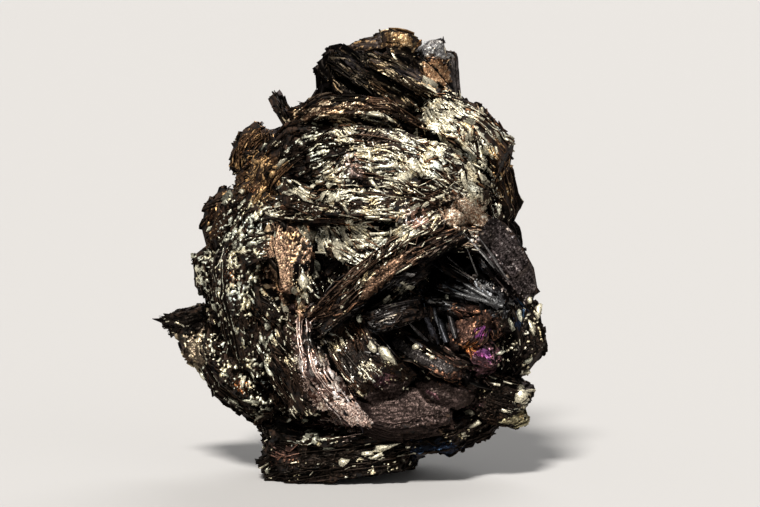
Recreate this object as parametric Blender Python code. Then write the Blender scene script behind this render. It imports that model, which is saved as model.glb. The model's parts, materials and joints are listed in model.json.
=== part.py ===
"""Covellite specimen: one natural mass of intergrown plate crystals.

The mineral grows in thin plates that lie on each other like the leaves of a book. The specimen is over
seventy such books, grown through each other in every direction and fused into one solid, with a deep recess
on the right of its front where loose blades fan out under an overhanging book. It stands on a small flat cut.

Lengths are in millimetres at the nominal height. +X is to the viewer's right, +Y runs away from the viewer,
and +Z is up. The origin is on the flat cut.
"""

import math
import random
from collections import namedtuple

import bmesh
import bpy
from mathutils import Vector

# Driving dimensions
NOMINAL_HEIGHT = 79.7
HEIGHT = 79.7
SCALE = 0.001 * HEIGHT / NOMINAL_HEIGHT

# The closed lump behind the books, as its middle and its half sizes
CORE_MIDDLE = (1.0, 3.0, 37.0)
CORE_HALF = (26.0, 18.0, 31.5)
CORE_DETAIL = 2
LUMP_ROUGHNESS = 0.05

# Smaller lumps inside it, which leave no hollow between the books: a name, a middle and half sizes
HEARTS = (
    ("heart_low", (-3.0, 3.5, 6.5), (15.0, 13.0, 8.5)),
    ("heart_right", (18.5, -3.0, 44.5), (7.0, 7.5, 6.0)),
    ("heart_left", (-20.0, 4.5, 30.0), (7.5, 8.0, 7.0)),
    ("heart_top", (11.5, 11.0, 69.0), (5.5, 5.5, 6.0)),
)
HEART_DETAIL = 1

# The outline of a plate: a rounded rectangle with a slow wobble
SQUARENESS = 2.6
WOBBLE = {2: 0.06, 3: 0.06, 5: 0.05}
OUTLINE_POINTS = 8
LONG_OUTLINE_POINTS = 10
LONG_BOOK = 24.0

# The steps between the plates of a book
STEP_DEPTH = 0.13
STEP_SLOPE = 0.12
LAYER_SHIFT = 0.03

# The recess on the right of the front, as its middle and its half sizes
RECESS_MIDDLE = (19.6, -12.5, 35.8)
RECESS_HALF = (8.6, 9.0, 6.6)
RECESS_DETAIL = 2

# What stands below this height is cut away
CUT_HEIGHT = 0.0
CUT_REACH = 60.0

CRYSTAL_COLOUR = (0.035, 0.030, 0.032, 1.0)
CRYSTAL_ROUGHNESS = 0.42
CRYSTAL_METALLIC = 0.6

# A book of plates. at is the middle of what shows of it, azimuth and rise give the way that side faces
# (azimuth 0 is towards the viewer and 90 is to the right), and flow is the angle of its long side there.
# lay turns the plates about the long side: 0 shows their edges, and 90 shows the face of the top plate.
# size is the length, the depth into the specimen and the thickness. curve bends the long side, as 1 / radius.
Book = namedtuple("Book", "name at azimuth rise flow lay size curve layers")

BOOKS = (
    # The cap at the top
    Book("cap_left", (1.0, -7.0, 70.2), -12, 5, -36, 62, (20, 9.5, 4.5), 0.010, 3),
    Book("cap_right", (10.5, -4.0, 70.8), 5, 10, -38, 58, (18, 9.0, 4.5), 0.012, 3),
    Book("cap_side", (-4.9, -5.0, 72.3), -16, 5, 80, 26, (8.8, 8.0, 4.0), 0.000, 2),
    Book("cap_leaf_left", (3.4, -9.6, 71.3), -8, 12, -37, 30, (21, 8.0, 1.6), 0.016, 1),
    Book("cap_leaf_right", (10.2, -6.6, 72.4), 5, 14, -30, 34, (16, 8.0, 1.5), 0.016, 1),
    Book("cap_back", (3.2, 3.0, 76.2), -10, 10, 12, 25, (12, 10.0, 5.0), 0.020, 2),
    Book("gold_lump", (8.5, 1.5, 78.8), 4, 30, -16, 24, (6.0, 6.5, 6.6), 0.140, 1),
    Book("rear_crystal", (15.6, 8.0, 68.9), 10, 5, 88, 34, (20.4, 8.0, 7.0), 0.010, 1),
    Book("rear_tip", (13.8, 8.0, 75.8), 0, 12, 24, 20, (6.0, 6.5, 5.0), 0.080, 1),
    Book("spur", (-13.2, 1.0, 65.4), -10, 5, -58, 10, (10, 4.5, 1.8), 0.030, 2),
    # The dome
    Book("brow", (0.5, -14.0, 66.3), -5, 25, -4, -8, (27, 16, 3.6), 0.020, 3),
    Book("dome_main", (7.0, -20.5, 59.4), 4, 22, -14, 4, (36, 22, 11), 0.028, 3),
    Book("dome_right", (24.9, -11.0, 62.1), 42, 16, -52, 6, (20, 20, 9), 0.030, 4),
    Book("dome_left", (-14.0, -12.0, 57.9), -35, 18, 38, 8, (21, 20, 10), 0.030, 4),
    Book("dome_middle", (4.5, -22.5, 52.4), 0, 10, -7, 6, (30, 20, 7.5), 0.018, 3),
    Book("smile_band", (-1.0, -21.5, 48.1), -8, 4, 6, -6, (30, 18, 4.4), -0.022, 3),
    Book("chevron", (3.0, -21.0, 42.7), -4, 2, -24, 6, (22, 18, 8), 0.010, 3),
    Book("knot_pit", (-2.0, -21.6, 56.2), -6, 14, 38, 10, (10, 9, 5.0), 0.050, 2),
    Book("knot_left", (-9.5, -19.6, 52.0), -22, 10, -24, 12, (12, 10, 5.0), 0.040, 2),
    Book("knot_right", (15.5, -20.6, 53.0), 18, 12, 18, 8, (13, 10, 5.0), 0.040, 2),
    Book("knot_low", (10.5, -22.4, 46.4), 4, 4, 28, 10, (12, 10, 4.6), 0.030, 2),
    # The diagonal ridge and the overhang under it
    Book("ridge_upper", (6.6, -25.5, 38.5), 0, 4, 34, -10, (33, 22, 5.2), 0.008, 4),
    Book("ridge_lower", (3.4, -24.0, 32.1), -4, -12, 38, -30, (22, 20, 6.0), 0.012, 4),
    Book("ridge_foot", (6.5, -25.0, 29.1), -8, -12, 20, -16, (11, 12, 4.0), 0.020, 2),
    Book("crown", (20.7, -15.9, 46.5), 12, 30, -8, 30, (10, 12, 5.0), 0.030, 2),
    Book("right_back", (29.0, -2.0, 50.9), 70, 6, -81, 4, (22, 18, 7), 0.016, 3),
    Book("right_wall", (30.1, 1.0, 40.9), 78, 2, -78, 8, (18, 16, 7), 0.016, 3),
    # The jumble at the lower right
    Book("jumble_brown", (20.4, -17.0, 28.1), 6, 8, 58, 48, (9, 8, 4.0), 0.020, 2),
    Book("jumble_violet", (22.8, -16.5, 23.3), 10, 6, -28, 50, (8, 8, 4.0), 0.020, 2),
    Book("jumble_dark", (13.4, -18.0, 27.7), -6, 4, -74, 14, (9, 10, 3.4), 0.020, 2),
    Book("right_edge", (32.7, -6.0, 26.7), 58, 2, -86, 12, (21.5, 15, 6.5), 0.014, 3),
    Book("right_flank", (27.7, -12.0, 29.9), 38, 2, -66, 18, (11, 12, 4.5), 0.020, 2),
    Book("middle_plate", (15.0, -22.0, 24.5), 2, 6, -27, 16, (16, 16, 3.6), 0.012, 2),
    Book("middle_step", (17.8, -20.0, 19.5), 8, 10, -20, 34, (13, 13, 4.0), 0.012, 2),
    Book("sheet", (8.6, -20.5, 14.3), -2, 16, 2, 66, (23, 9.5, 4.0), 0.010, 2),
    Book("lower_right", (28.0, -13.5, 16.3), 24, 4, -18, 22, (15, 15, 7.0), 0.016, 3),
    # The left half of the front
    Book("lens", (-12.0, -18.5, 40.1), -32, 4, -86, 52, (14.5, 6.5, 2.6), 0.020, 2),
    Book("lens_block", (-7.0, -18.5, 35.9), -8, 2, -60, 30, (11, 12, 5.5), 0.010, 2),
    Book("knot_flank", (-19.5, -14.2, 42.0), -38, 8, 22, 14, (11, 9, 5.0), 0.040, 2),
    Book("knot_flank_low", (-15.5, -17.2, 31.0), -30, 0, -34, 12, (11, 9, 4.6), 0.030, 2),
    Book("left_inner", (-12.0, -18.5, 23.3), -22, 2, -66, 8, (22, 18, 8.5), 0.014, 3),
    Book("left_middle", (-22.2, -12.0, 32.9), -44, 4, -88, 10, (28, 18, 9.5), 0.012, 4),
    Book("left_upper", (-23.8, -5.0, 46.4), -58, 12, 66, 14, (21, 18, 9.0), 0.022, 3),
    Book("left_bulge", (-29.4, 3.0, 36.0), -75, 4, 75, 20, (14, 14, 7), 0.020, 2),
    Book("left_low", (-25.9, -6.5, 18.9), -52, -8, -58, 12, (20, 18, 9.0), 0.020, 3),
    Book("pale_patch", (-31.1, 1.0, 23.1), -66, -6, -50, 30, (12, 12, 6.0), 0.020, 2),
    Book("left_knob", (-34.7, 4.0, 27.4), -70, 6, 8, 20, (8.5, 9.0, 4.6), 0.030, 2),
    Book("knob_upper", (-22.1, 6.0, 59.3), -50, 22, 72, 34, (10, 10, 6.5), 0.040, 2),
    Book("knob_middle", (-27.8, 7.0, 45.5), -72, 10, 80, 30, (11, 10, 6.5), 0.040, 2),
    Book("salmon_ridge", (-6.4, -23.5, 21.7), -20, 2, -63, 6, (27, 18, 3.6), -0.018, 2),
    Book("arcs", (1.8, -22.0, 23.5), -2, 4, -52, 4, (18, 18, 10), -0.026, 3),
    # The base
    Book("slab_base", (-3.0, -19.0, 6.0), -4, 5, 8, 4, (29, 34, 8.0), 0.000, 3),
    Book("slab_upper", (5.0, -18.5, 8.5), 2, 0, 7, 6, (41, 34, 4.6), -0.004, 3),
    Book("slab_right", (20.8, -13.5, 9.5), 18, -6, 14, 8, (20, 24, 4.2), 0.006, 3),
    Book("slab_left", (-12.5, -15.5, 7.5), -24, 4, -16, 8, (13, 22, 4.4), 0.010, 2),
    Book("base_corner", (-14.6, -14.5, 2.9), -20, 0, 26, 12, (9, 16, 6.6), 0.020, 2),
    Book("keel", (13.6, -15.5, 4.6), 6, -22, 8, -32, (15, 18, 3.8), 0.000, 2),
    Book("khaki_chip", (29.8, -11.0, 11.3), 22, 4, 20, 20, (5.6, 8.0, 1.6), 0.000, 1),
    # The back and the two sides
    Book("back_dome", (-2.0, 21.5, 57.0), 178, 18, 12, 6, (38, 24, 13), 0.028, 3),
    Book("back_crest", (6.0, 15.0, 68.0), 170, 35, -20, 22, (25, 17, 8), 0.026, 2),
    Book("back_ridge", (4.0, 24.5, 43.5), 184, 6, -24, -8, (40, 24, 9), 0.016, 2),
    Book("back_fold", (-9.0, 23.5, 32.5), 196, 0, 48, 10, (26, 20, 13), 0.020, 2),
    Book("back_plate", (12.0, 22.5, 29.0), 166, 4, 16, 48, (22, 17, 8), 0.012, 3),
    Book("back_low", (2.0, 22.0, 15.5), 180, -6, -8, 8, (38, 22, 12), 0.016, 2),
    Book("back_foot", (-1.0, 18.0, 3.2), 182, 0, 0, 0, (25, 24, 8.0), 0.000, 2),
    Book("back_left", (-25.0, 13.0, 31.0), 236, 4, -70, 12, (30, 20, 12), 0.020, 2),
    Book("back_right", (22.0, 15.5, 40.0), 126, 6, 60, 14, (34, 20, 12), 0.020, 2),
    Book("back_right_low", (20.0, 15.5, 20.0), 130, -8, -34, 12, (25, 20, 11), 0.020, 2),
    Book("right_side", (30.5, 5.0, 29.0), 92, 0, 24, 22, (22, 18, 9), 0.016, 2),
    Book("back_left_high", (-17.5, 14.0, 50.0), 222, 18, 30, 16, (25, 19, 12), 0.026, 2),
    Book("back_left_low", (-19.0, 12.5, 13.5), 226, -18, -22, 10, (22, 20, 11), 0.020, 2),
    Book("top_left", (-7.0, 4.0, 67.0), -130, 50, 30, 36, (20, 16, 8), 0.030, 2),
)

# What grew in the mouth of the recess, after it
RECESS_BOOKS = (
    Book("wing", (26.0, -10.9, 41.6), 14, 8, -48, 64, (15, 8.6, 4.6), 0.010, 2),
    Book("wing_low", (29.6, -9.4, 36.7), 22, 6, -60, 62, (13, 9.0, 4.6), 0.030, 2),
    Book("blade_high", (24.0, -13.6, 38.4), 14, -4, -53, 8, (17, 10, 0.9), 0.000, 1),
    Book("blade_middle", (21.3, -12.6, 35.6), 10, -2, -27, 12, (17, 9, 0.9), 0.000, 1),
    Book("blade_low", (21.8, -13.4, 34.0), 8, 2, -17, 20, (15, 9, 0.9), 0.006, 1),
    Book("grey_plate", (24.6, -14.0, 34.8), 10, 8, -38, 50, (8, 5, 1.2), 0.000, 1),
    Book("grey_shelf", (20.6, -14.6, 32.6), 6, 6, -9, 24, (17, 11, 1.6), 0.006, 2),
)


def plate_phases(book):
    """The wobble of a book's outline: one phase for each wave."""
    chance = random.Random(book.name)
    return {wave: chance.uniform(0, 2 * math.pi) for wave in WOBBLE}


def outline(book, phases, points):
    """The points of a book's plates round its middle, in its own plane."""
    length, depth, _ = book.size
    for i in range(points):
        angle = 2 * math.pi * (i + 0.5) / points
        along = abs(math.cos(angle)) * 2 / length
        across = abs(math.sin(angle)) * 2 / depth
        reach = (along**SQUARENESS + across**SQUARENESS) ** (-1 / SQUARENESS)
        reach *= 1 + sum(size * math.sin(wave * angle + phases[wave]) for wave, size in WOBBLE.items())
        yield reach * math.cos(angle), reach * math.sin(angle)


def bent(u, v, w, curve):
    """A point of a flat book after its long side is bent."""
    if not curve:
        return u, v, w
    radius = 1 / curve
    return (radius + w) * math.sin(u * curve), v, (radius + w) * math.cos(u * curve) - radius


def directions(book):
    """The way a book faces, its long side, the direction that it runs out in, and its plates' normal."""
    azimuth, rise, flow, lay = (math.radians(a) for a in (book.azimuth, book.rise, book.flow, book.lay))
    facing = Vector((math.sin(azimuth) * math.cos(rise), -math.cos(azimuth) * math.cos(rise), math.sin(rise)))
    right = Vector((math.cos(azimuth), math.sin(azimuth), 0))
    up = right.cross(-facing)
    along = right * math.cos(flow) + up * math.sin(flow)
    edge_normal = facing.cross(along)
    outward = facing * math.cos(lay) - edge_normal * math.sin(lay)
    normal = edge_normal * math.cos(lay) + facing * math.sin(lay)
    return facing, along, outward, normal


def middle(book):
    """The middle of a book, which lies half its reach behind the side that shows."""
    facing = directions(book)[0]
    lay = math.radians(abs(book.lay))
    reach = book.size[1] * math.cos(lay) + book.size[2] * math.sin(lay)
    return Vector(book.at) - facing * reach / 2


def book_object(book):
    """The closed solid of a book: rings of points, two for each layer, joined by quads."""
    chance = random.Random(book.name + " layers")
    phases = plate_phases(book)
    points = LONG_OUTLINE_POINTS if book.size[0] > LONG_BOOK else OUTLINE_POINTS
    shape = list(outline(book, phases, points))
    length, depth, thickness = book.size
    layer = thickness / book.layers
    _, along, outward, normal = directions(book)
    centre = middle(book)
    bm = bmesh.new()
    rings = []
    for k in range(book.layers):
        grow = 1 - STEP_DEPTH * chance.random()
        shift_u = LAYER_SHIFT * length * chance.uniform(-1, 1)
        shift_v = LAYER_SHIFT * depth * chance.uniform(-1, 1)
        for share in (STEP_SLOPE, 1 - STEP_SLOPE):
            w = layer * (k + share) - thickness / 2
            ring = []
            for u, v in shape:
                u, v, up = bent(u * grow + shift_u, v * grow + shift_v, w, book.curve)
                ring.append(bm.verts.new((centre + along * u + outward * v + normal * up) * SCALE))
            rings.append(ring)
    for low, high in zip(rings, rings[1:]):
        for i in range(points):
            j = (i + 1) % points
            bm.faces.new((low[i], low[j], high[j], high[i]))
    bm.faces.new(rings[0][::-1])
    bm.faces.new(rings[-1])
    bmesh.ops.recalc_face_normals(bm, faces=bm.faces)
    bmesh.ops.triangulate(bm, faces=bm.faces)
    return mesh_object(bm, book.name)


def mesh_object(bm, name):
    mesh = bpy.data.meshes.new(name)
    bm.to_mesh(mesh)
    bm.free()
    made = bpy.data.objects.new(name, mesh)
    bpy.context.scene.collection.objects.link(made)
    return made


def lump_object(name, centre, half, detail):
    """A rough egg shape."""
    bm = bmesh.new()
    bmesh.ops.create_icosphere(bm, subdivisions=detail, radius=1.0)
    chance = random.Random(name)
    for vert in bm.verts:
        rough = 1 + LUMP_ROUGHNESS * chance.uniform(-1, 1)
        reach = Vector([vert.co[i] * half[i] * rough for i in range(3)])
        vert.co = (Vector(centre) + reach) * SCALE
    return mesh_object(bm, name)


def cut_object():
    """The block that takes away what is under the flat cut."""
    bm = bmesh.new()
    bmesh.ops.create_cube(bm, size=2 * CUT_REACH * SCALE)
    bmesh.ops.translate(bm, verts=bm.verts, vec=Vector((0, 0, CUT_HEIGHT - CUT_REACH)) * SCALE)
    return mesh_object(bm, "flat_cut")


def hide_helper(helper):
    helper.hide_render = True
    helper.display_type = "WIRE"


def crystal_material():
    made = bpy.data.materials.new("tarnished_covellite")
    made.use_nodes = True
    shader = made.node_tree.nodes["Principled BSDF"]
    shader.inputs["Base Color"].default_value = CRYSTAL_COLOUR
    shader.inputs["Roughness"].default_value = CRYSTAL_ROUGHNESS
    shader.inputs["Metallic"].default_value = CRYSTAL_METALLIC
    return made


def clear_scene():
    for old in list(bpy.data.objects):
        bpy.data.objects.remove(old, do_unlink=True)


def fuse(specimen, name, helpers):
    """Grows some helpers into the specimen. They are hidden, in a collection of their own."""
    group = bpy.data.collections.new(name)
    bpy.context.scene.collection.children.link(group)
    for helper in helpers:
        bpy.context.scene.collection.objects.unlink(helper)
        group.objects.link(helper)
        hide_helper(helper)
    step = specimen.modifiers.new(name, "BOOLEAN")
    step.operation = "UNION"
    step.operand_type = "COLLECTION"
    step.collection = group


def take_away(specimen, cutter):
    hide_helper(cutter)
    step = specimen.modifiers.new(cutter.name, "BOOLEAN")
    step.operation = "DIFFERENCE"
    step.object = cutter


def main():
    clear_scene()
    specimen = lump_object("covellite_specimen", CORE_MIDDLE, CORE_HALF, CORE_DETAIL)
    specimen.data.materials.append(crystal_material())
    hearts = [lump_object(name, centre, half, HEART_DETAIL) for name, centre, half in HEARTS]
    fuse(specimen, "books", hearts + [book_object(book) for book in BOOKS])
    take_away(specimen, lump_object("recess", RECESS_MIDDLE, RECESS_HALF, RECESS_DETAIL))
    fuse(specimen, "recess_books", [book_object(book) for book in RECESS_BOOKS])
    take_away(specimen, cut_object())


main()
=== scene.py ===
"""The looks of the covellite specimen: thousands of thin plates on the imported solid, and light and camera.

Lengths in the tables are in millimetres, in the solid's own frame, and MM turns them into metres.
"""

import json
import math
import random
from collections import namedtuple

import bpy
import numpy as np
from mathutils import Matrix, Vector, noise
from mathutils.bvhtree import BVHTree

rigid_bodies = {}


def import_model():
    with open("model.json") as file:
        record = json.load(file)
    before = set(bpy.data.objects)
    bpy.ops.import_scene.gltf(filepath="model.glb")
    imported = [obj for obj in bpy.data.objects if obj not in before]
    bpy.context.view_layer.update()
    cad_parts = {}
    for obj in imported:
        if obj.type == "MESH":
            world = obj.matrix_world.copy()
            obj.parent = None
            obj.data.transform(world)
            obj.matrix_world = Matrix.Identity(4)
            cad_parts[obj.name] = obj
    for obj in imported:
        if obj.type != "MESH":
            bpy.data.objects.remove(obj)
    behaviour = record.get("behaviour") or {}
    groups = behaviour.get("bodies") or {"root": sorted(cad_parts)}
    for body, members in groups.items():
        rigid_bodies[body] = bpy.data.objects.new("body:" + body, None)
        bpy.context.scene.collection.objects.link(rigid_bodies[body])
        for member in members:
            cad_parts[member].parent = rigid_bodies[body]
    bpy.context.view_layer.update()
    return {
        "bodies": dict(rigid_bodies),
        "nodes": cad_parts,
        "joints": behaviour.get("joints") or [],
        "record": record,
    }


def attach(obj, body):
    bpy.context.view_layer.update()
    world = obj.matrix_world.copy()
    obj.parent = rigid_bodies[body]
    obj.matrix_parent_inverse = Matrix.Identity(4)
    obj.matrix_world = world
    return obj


MM = 0.001
SEED = 29

# The books of plates, as the solid has them. at is the middle of what shows, azimuth and rise give the way
# that side faces, flow is the angle of its long side, and lay turns the plates about it: 0 shows their edges
# and 90 the face of the top plate. size is the length, depth and thickness. curve bends the long side, as
# 1 / radius. The name also starts the random wobble of the plates' outline, as it does in the solid.
Book = namedtuple("Book", "name at azimuth rise flow lay size curve look")

BOOKS = [Book(*row) for row in (
    ("cap_left", (1, -7, 70.2), -12, 5, -36, 62, (20, 9.5, 4.5), 0.01, "cap"),
    ("cap_right", (10.5, -4, 70.8), 5, 10, -38, 58, (18, 9, 4.5), 0.012, "cap_grey"),
    ("cap_side", (-4.9, -5, 72.3), -16, 5, 80, 26, (8.8, 8, 4), 0, "cap"),
    ("cap_leaf_left", (3.4, -9.6, 71.3), -8, 12, -37, 30, (21, 8, 1.6), 0.016, "cap_leaf"),
    ("cap_leaf_right", (10.2, -6.6, 72.4), 5, 14, -30, 34, (16, 8, 1.5), 0.016, "cap_leaf"),
    ("cap_back", (3.2, 3, 76.2), -10, 10, 12, 25, (12, 10, 5), 0.02, "rear"),
    ("gold_lump", (8.5, 1.5, 78.8), 4, 30, -16, 24, (6, 6.5, 6.6), 0.14, "gold"),
    ("rear_crystal", (15.6, 8, 68.9), 10, 5, 88, 34, (20.4, 8, 7), 0.01, "slate_face"),
    ("rear_tip", (13.8, 8, 75.8), 0, 12, 24, 20, (6, 6.5, 5), 0.08, "rear_grey"),
    ("spur", (-13.2, 1, 65.4), -10, 5, -58, 10, (10, 4.5, 1.8), 0.03, "cap_grey"),
    ("brow", (0.5, -14, 66.3), -5, 25, -4, -8, (27, 16, 3.6), 0.02, "brow"),
    ("dome_main", (7, -20.5, 59.4), 4, 22, -14, 4, (36, 22, 11), 0.028, "glitter"),
    ("dome_right", (24.9, -11, 62.1), 42, 16, -52, 6, (20, 20, 9), 0.03, "glitter"),
    ("dome_left", (-14, -12, 57.9), -35, 18, 38, 8, (21, 20, 10), 0.03, "shade"),
    ("dome_middle", (4.5, -22.5, 52.4), 0, 10, -7, 6, (30, 20, 7.5), 0.018, "glitter"),
    ("smile_band", (-1, -21.5, 48.1), -8, 4, 6, -6, (30, 18, 4.4), -0.022, "glitter"),
    ("chevron", (3, -21, 42.7), -4, 2, -24, 6, (22, 18, 8), 0.01, "glitter"),
    ("knot_pit", (-2, -21.6, 56.2), -6, 14, 38, 10, (10, 9, 5), 0.05, "glitter"),
    ("knot_left", (-9.5, -19.6, 52), -22, 10, -24, 12, (12, 10, 5), 0.04, "shade"),
    ("knot_right", (15.5, -20.6, 53), 18, 12, 18, 8, (13, 10, 5), 0.04, "glitter"),
    ("knot_low", (10.5, -22.4, 46.4), 4, 4, 28, 10, (12, 10, 4.6), 0.03, "glitter"),
    ("ridge_upper", (6.6, -25.5, 38.5), 0, 4, 34, -10, (33, 22, 5.2), 0.008, "ridge"),
    ("ridge_lower", (3.4, -24, 32.1), -4, -12, 38, -30, (22, 20, 6), 0.012, "slate"),
    ("ridge_foot", (6.5, -25, 29.1), -8, -12, 20, -16, (11, 12, 4), 0.02, "slate"),
    ("crown", (20.7, -15.9, 46.5), 12, 30, -8, 30, (10, 12, 5), 0.03, "ochre"),
    ("right_back", (29, -2, 50.9), 70, 6, -81, 4, (22, 18, 7), 0.016, "umber"),
    ("right_wall", (30.1, 1, 40.9), 78, 2, -78, 8, (18, 16, 7), 0.016, "soot"),
    ("jumble_brown", (20.4, -17, 28.1), 6, 8, 58, 48, (9, 8, 4), 0.02, "rust"),
    ("jumble_violet", (22.8, -16.5, 23.3), 10, 6, -28, 50, (8, 8, 4), 0.02, "plum"),
    ("jumble_dark", (13.4, -18, 27.7), -6, 4, -74, 14, (9, 10, 3.4), 0.02, "slate"),
    ("right_edge", (32.7, -6, 26.7), 58, 2, -86, 12, (21.5, 15, 6.5), 0.014, "chips"),
    ("right_flank", (27.7, -12, 29.9), 38, 2, -66, 18, (11, 12, 4.5), 0.02, "soot"),
    ("middle_plate", (15, -22, 24.5), 2, 6, -27, 16, (16, 16, 3.6), 0.012, "umber"),
    ("middle_step", (17.8, -20, 19.5), 8, 10, -20, 34, (13, 13, 4), 0.012, "soot"),
    ("sheet", (8.6, -20.5, 14.3), -2, 16, 2, 66, (23, 9.5, 4), 0.01, "sheet"),
    ("lower_right", (28, -13.5, 16.3), 24, 4, -18, 22, (15, 15, 7), 0.016, "chips"),
    ("lens", (-12, -18.5, 40.1), -32, 4, -86, 52, (14.5, 6.5, 2.6), 0.02, "leaf"),
    ("lens_block", (-7, -18.5, 35.9), -8, 2, -60, 30, (11, 12, 5.5), 0.01, "shade"),
    ("knot_flank", (-19.5, -14.2, 42), -38, 8, 22, 14, (11, 9, 5), 0.04, "flank"),
    ("knot_flank_low", (-15.5, -17.2, 31), -30, 0, -34, 12, (11, 9, 4.6), 0.03, "flank"),
    ("left_inner", (-12, -18.5, 23.3), -22, 2, -66, 8, (22, 18, 8.5), 0.014, "umber"),
    ("left_middle", (-22.2, -12, 32.9), -44, 4, -88, 10, (28, 18, 9.5), 0.012, "flank"),
    ("left_upper", (-23.8, -5, 46.4), -58, 12, 66, 14, (21, 18, 9), 0.022, "flank"),
    ("left_bulge", (-29.4, 3, 36), -75, 4, 75, 20, (14, 14, 7), 0.02, "flank"),
    ("left_low", (-25.9, -6.5, 18.9), -52, -8, -58, 12, (20, 18, 9), 0.02, "flank"),
    ("pale_patch", (-31.1, 1, 23.1), -66, -6, -50, 30, (12, 12, 6), 0.02, "pale"),
    ("left_knob", (-34.7, 4, 27.4), -70, 6, 8, 20, (8.5, 9, 4.6), 0.03, "soot"),
    ("knob_upper", (-22.1, 6, 59.3), -50, 22, 72, 34, (10, 10, 6.5), 0.04, "bronze"),
    ("knob_middle", (-27.8, 7, 45.5), -72, 10, 80, 30, (11, 10, 6.5), 0.04, "bronze"),
    ("salmon_ridge", (-6.4, -23.5, 21.7), -20, 2, -63, 6, (27, 18, 3.6), -0.018, "salmon"),
    ("arcs", (1.8, -22, 23.5), -2, 4, -52, 4, (18, 18, 10), -0.026, "umber"),
    ("slab_base", (-3, -19, 6), -4, 5, 8, 4, (29, 34, 8), 0, "foot"),
    ("slab_upper", (5, -18.5, 8.5), 2, 0, 7, 6, (41, 34, 4.6), -0.004, "foot"),
    ("slab_right", (20.8, -13.5, 9.5), 18, -6, 14, 8, (20, 24, 4.2), 0.006, "foot"),
    ("slab_left", (-12.5, -15.5, 7.5), -24, 4, -16, 8, (13, 22, 4.4), 0.01, "foot"),
    ("base_corner", (-14.6, -14.5, 2.9), -20, 0, 26, 12, (9, 16, 6.6), 0.02, "soot"),
    ("keel", (13.6, -15.5, 4.6), 6, -22, 8, -32, (15, 18, 3.8), 0, "indigo"),
    ("khaki_chip", (29.8, -11, 11.3), 22, 4, 20, 20, (5.6, 8, 1.6), 0, "khaki"),
    ("back_dome", (-2, 21.5, 57), 178, 18, 12, 6, (38, 24, 13), 0.028, "shade"),
    ("back_crest", (6, 15, 68), 170, 35, -20, 22, (25, 17, 8), 0.026, "brow"),
    ("back_ridge", (4, 24.5, 43.5), 184, 6, -24, -8, (40, 24, 9), 0.016, "ridge"),
    ("back_fold", (-9, 23.5, 32.5), 196, 0, 48, 10, (26, 20, 13), 0.02, "umber"),
    ("back_plate", (12, 22.5, 29), 166, 4, 16, 48, (22, 17, 8), 0.012, "sheet"),
    ("back_low", (2, 22, 15.5), 180, -6, -8, 8, (38, 22, 12), 0.016, "foot"),
    ("back_foot", (-1, 18, 3.2), 182, 0, 0, 0, (25, 24, 8), 0, "soot"),
    ("back_left", (-25, 13, 31), 236, 4, -70, 12, (30, 20, 12), 0.02, "flank"),
    ("back_right", (22, 15.5, 40), 126, 6, 60, 14, (34, 20, 12), 0.02, "shade"),
    ("back_right_low", (20, 15.5, 20), 130, -8, -34, 12, (25, 20, 11), 0.02, "umber"),
    ("right_side", (30.5, 5, 29), 92, 0, 24, 22, (22, 18, 9), 0.016, "umber"),
    ("back_left_high", (-17.5, 14, 50), 222, 18, 30, 16, (25, 19, 12), 0.026, "flank"),
    ("back_left_low", (-19, 12.5, 13.5), 226, -18, -22, 10, (22, 20, 11), 0.02, "umber"),
    ("top_left", (-7, 4, 67), -130, 50, 30, 36, (20, 16, 8), 0.03, "cap"),
    ("wing", (26, -10.9, 41.6), 14, 8, -48, 64, (15, 8.6, 4.6), 0.01, "wing"),
    ("wing_low", (29.6, -9.4, 36.7), 22, 6, -60, 62, (13, 9, 4.6), 0.03, "wing"),
    ("blade_high", (24, -13.6, 38.4), 14, -4, -53, 8, (17, 10, 0.9), 0, "steel"),
    ("blade_middle", (21.3, -12.6, 35.6), 10, -2, -27, 12, (17, 9, 0.9), 0, "steel"),
    ("blade_low", (21.8, -13.4, 34), 8, 2, -17, 20, (15, 9, 0.9), 0.006, "steel"),
    ("grey_plate", (24.6, -14, 34.8), 10, 8, -38, 50, (8, 5, 1.2), 0, "steel"),
    ("grey_shelf", (20.6, -14.6, 32.6), 6, 6, -9, 24, (17, 11, 1.6), 0.006, "steel"),
)]

# The finish of a book or of an area: its own colours, and its painted glints. rim and face are the dull
# colours of a plate's edge and of its face, as 0 to 255 in a picture, and the third colour is painted on its
# bright edges
# and faces as glints: painted highlights, which stand in for light glinting off the plates. share says how
# many plates are painted bright, and flake how much wider those are. size is a plate's usual length and
# thickness, and how far it stands out.
# tilt is 0 where the plates follow the book. Elsewhere they lie like scales, at this angle to the surface.
Look = namedtuple("Look", "rim face spark share flake size tilt")

# The colours of the painted glints: painted highlights in cream, greenish and golden tones
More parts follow.
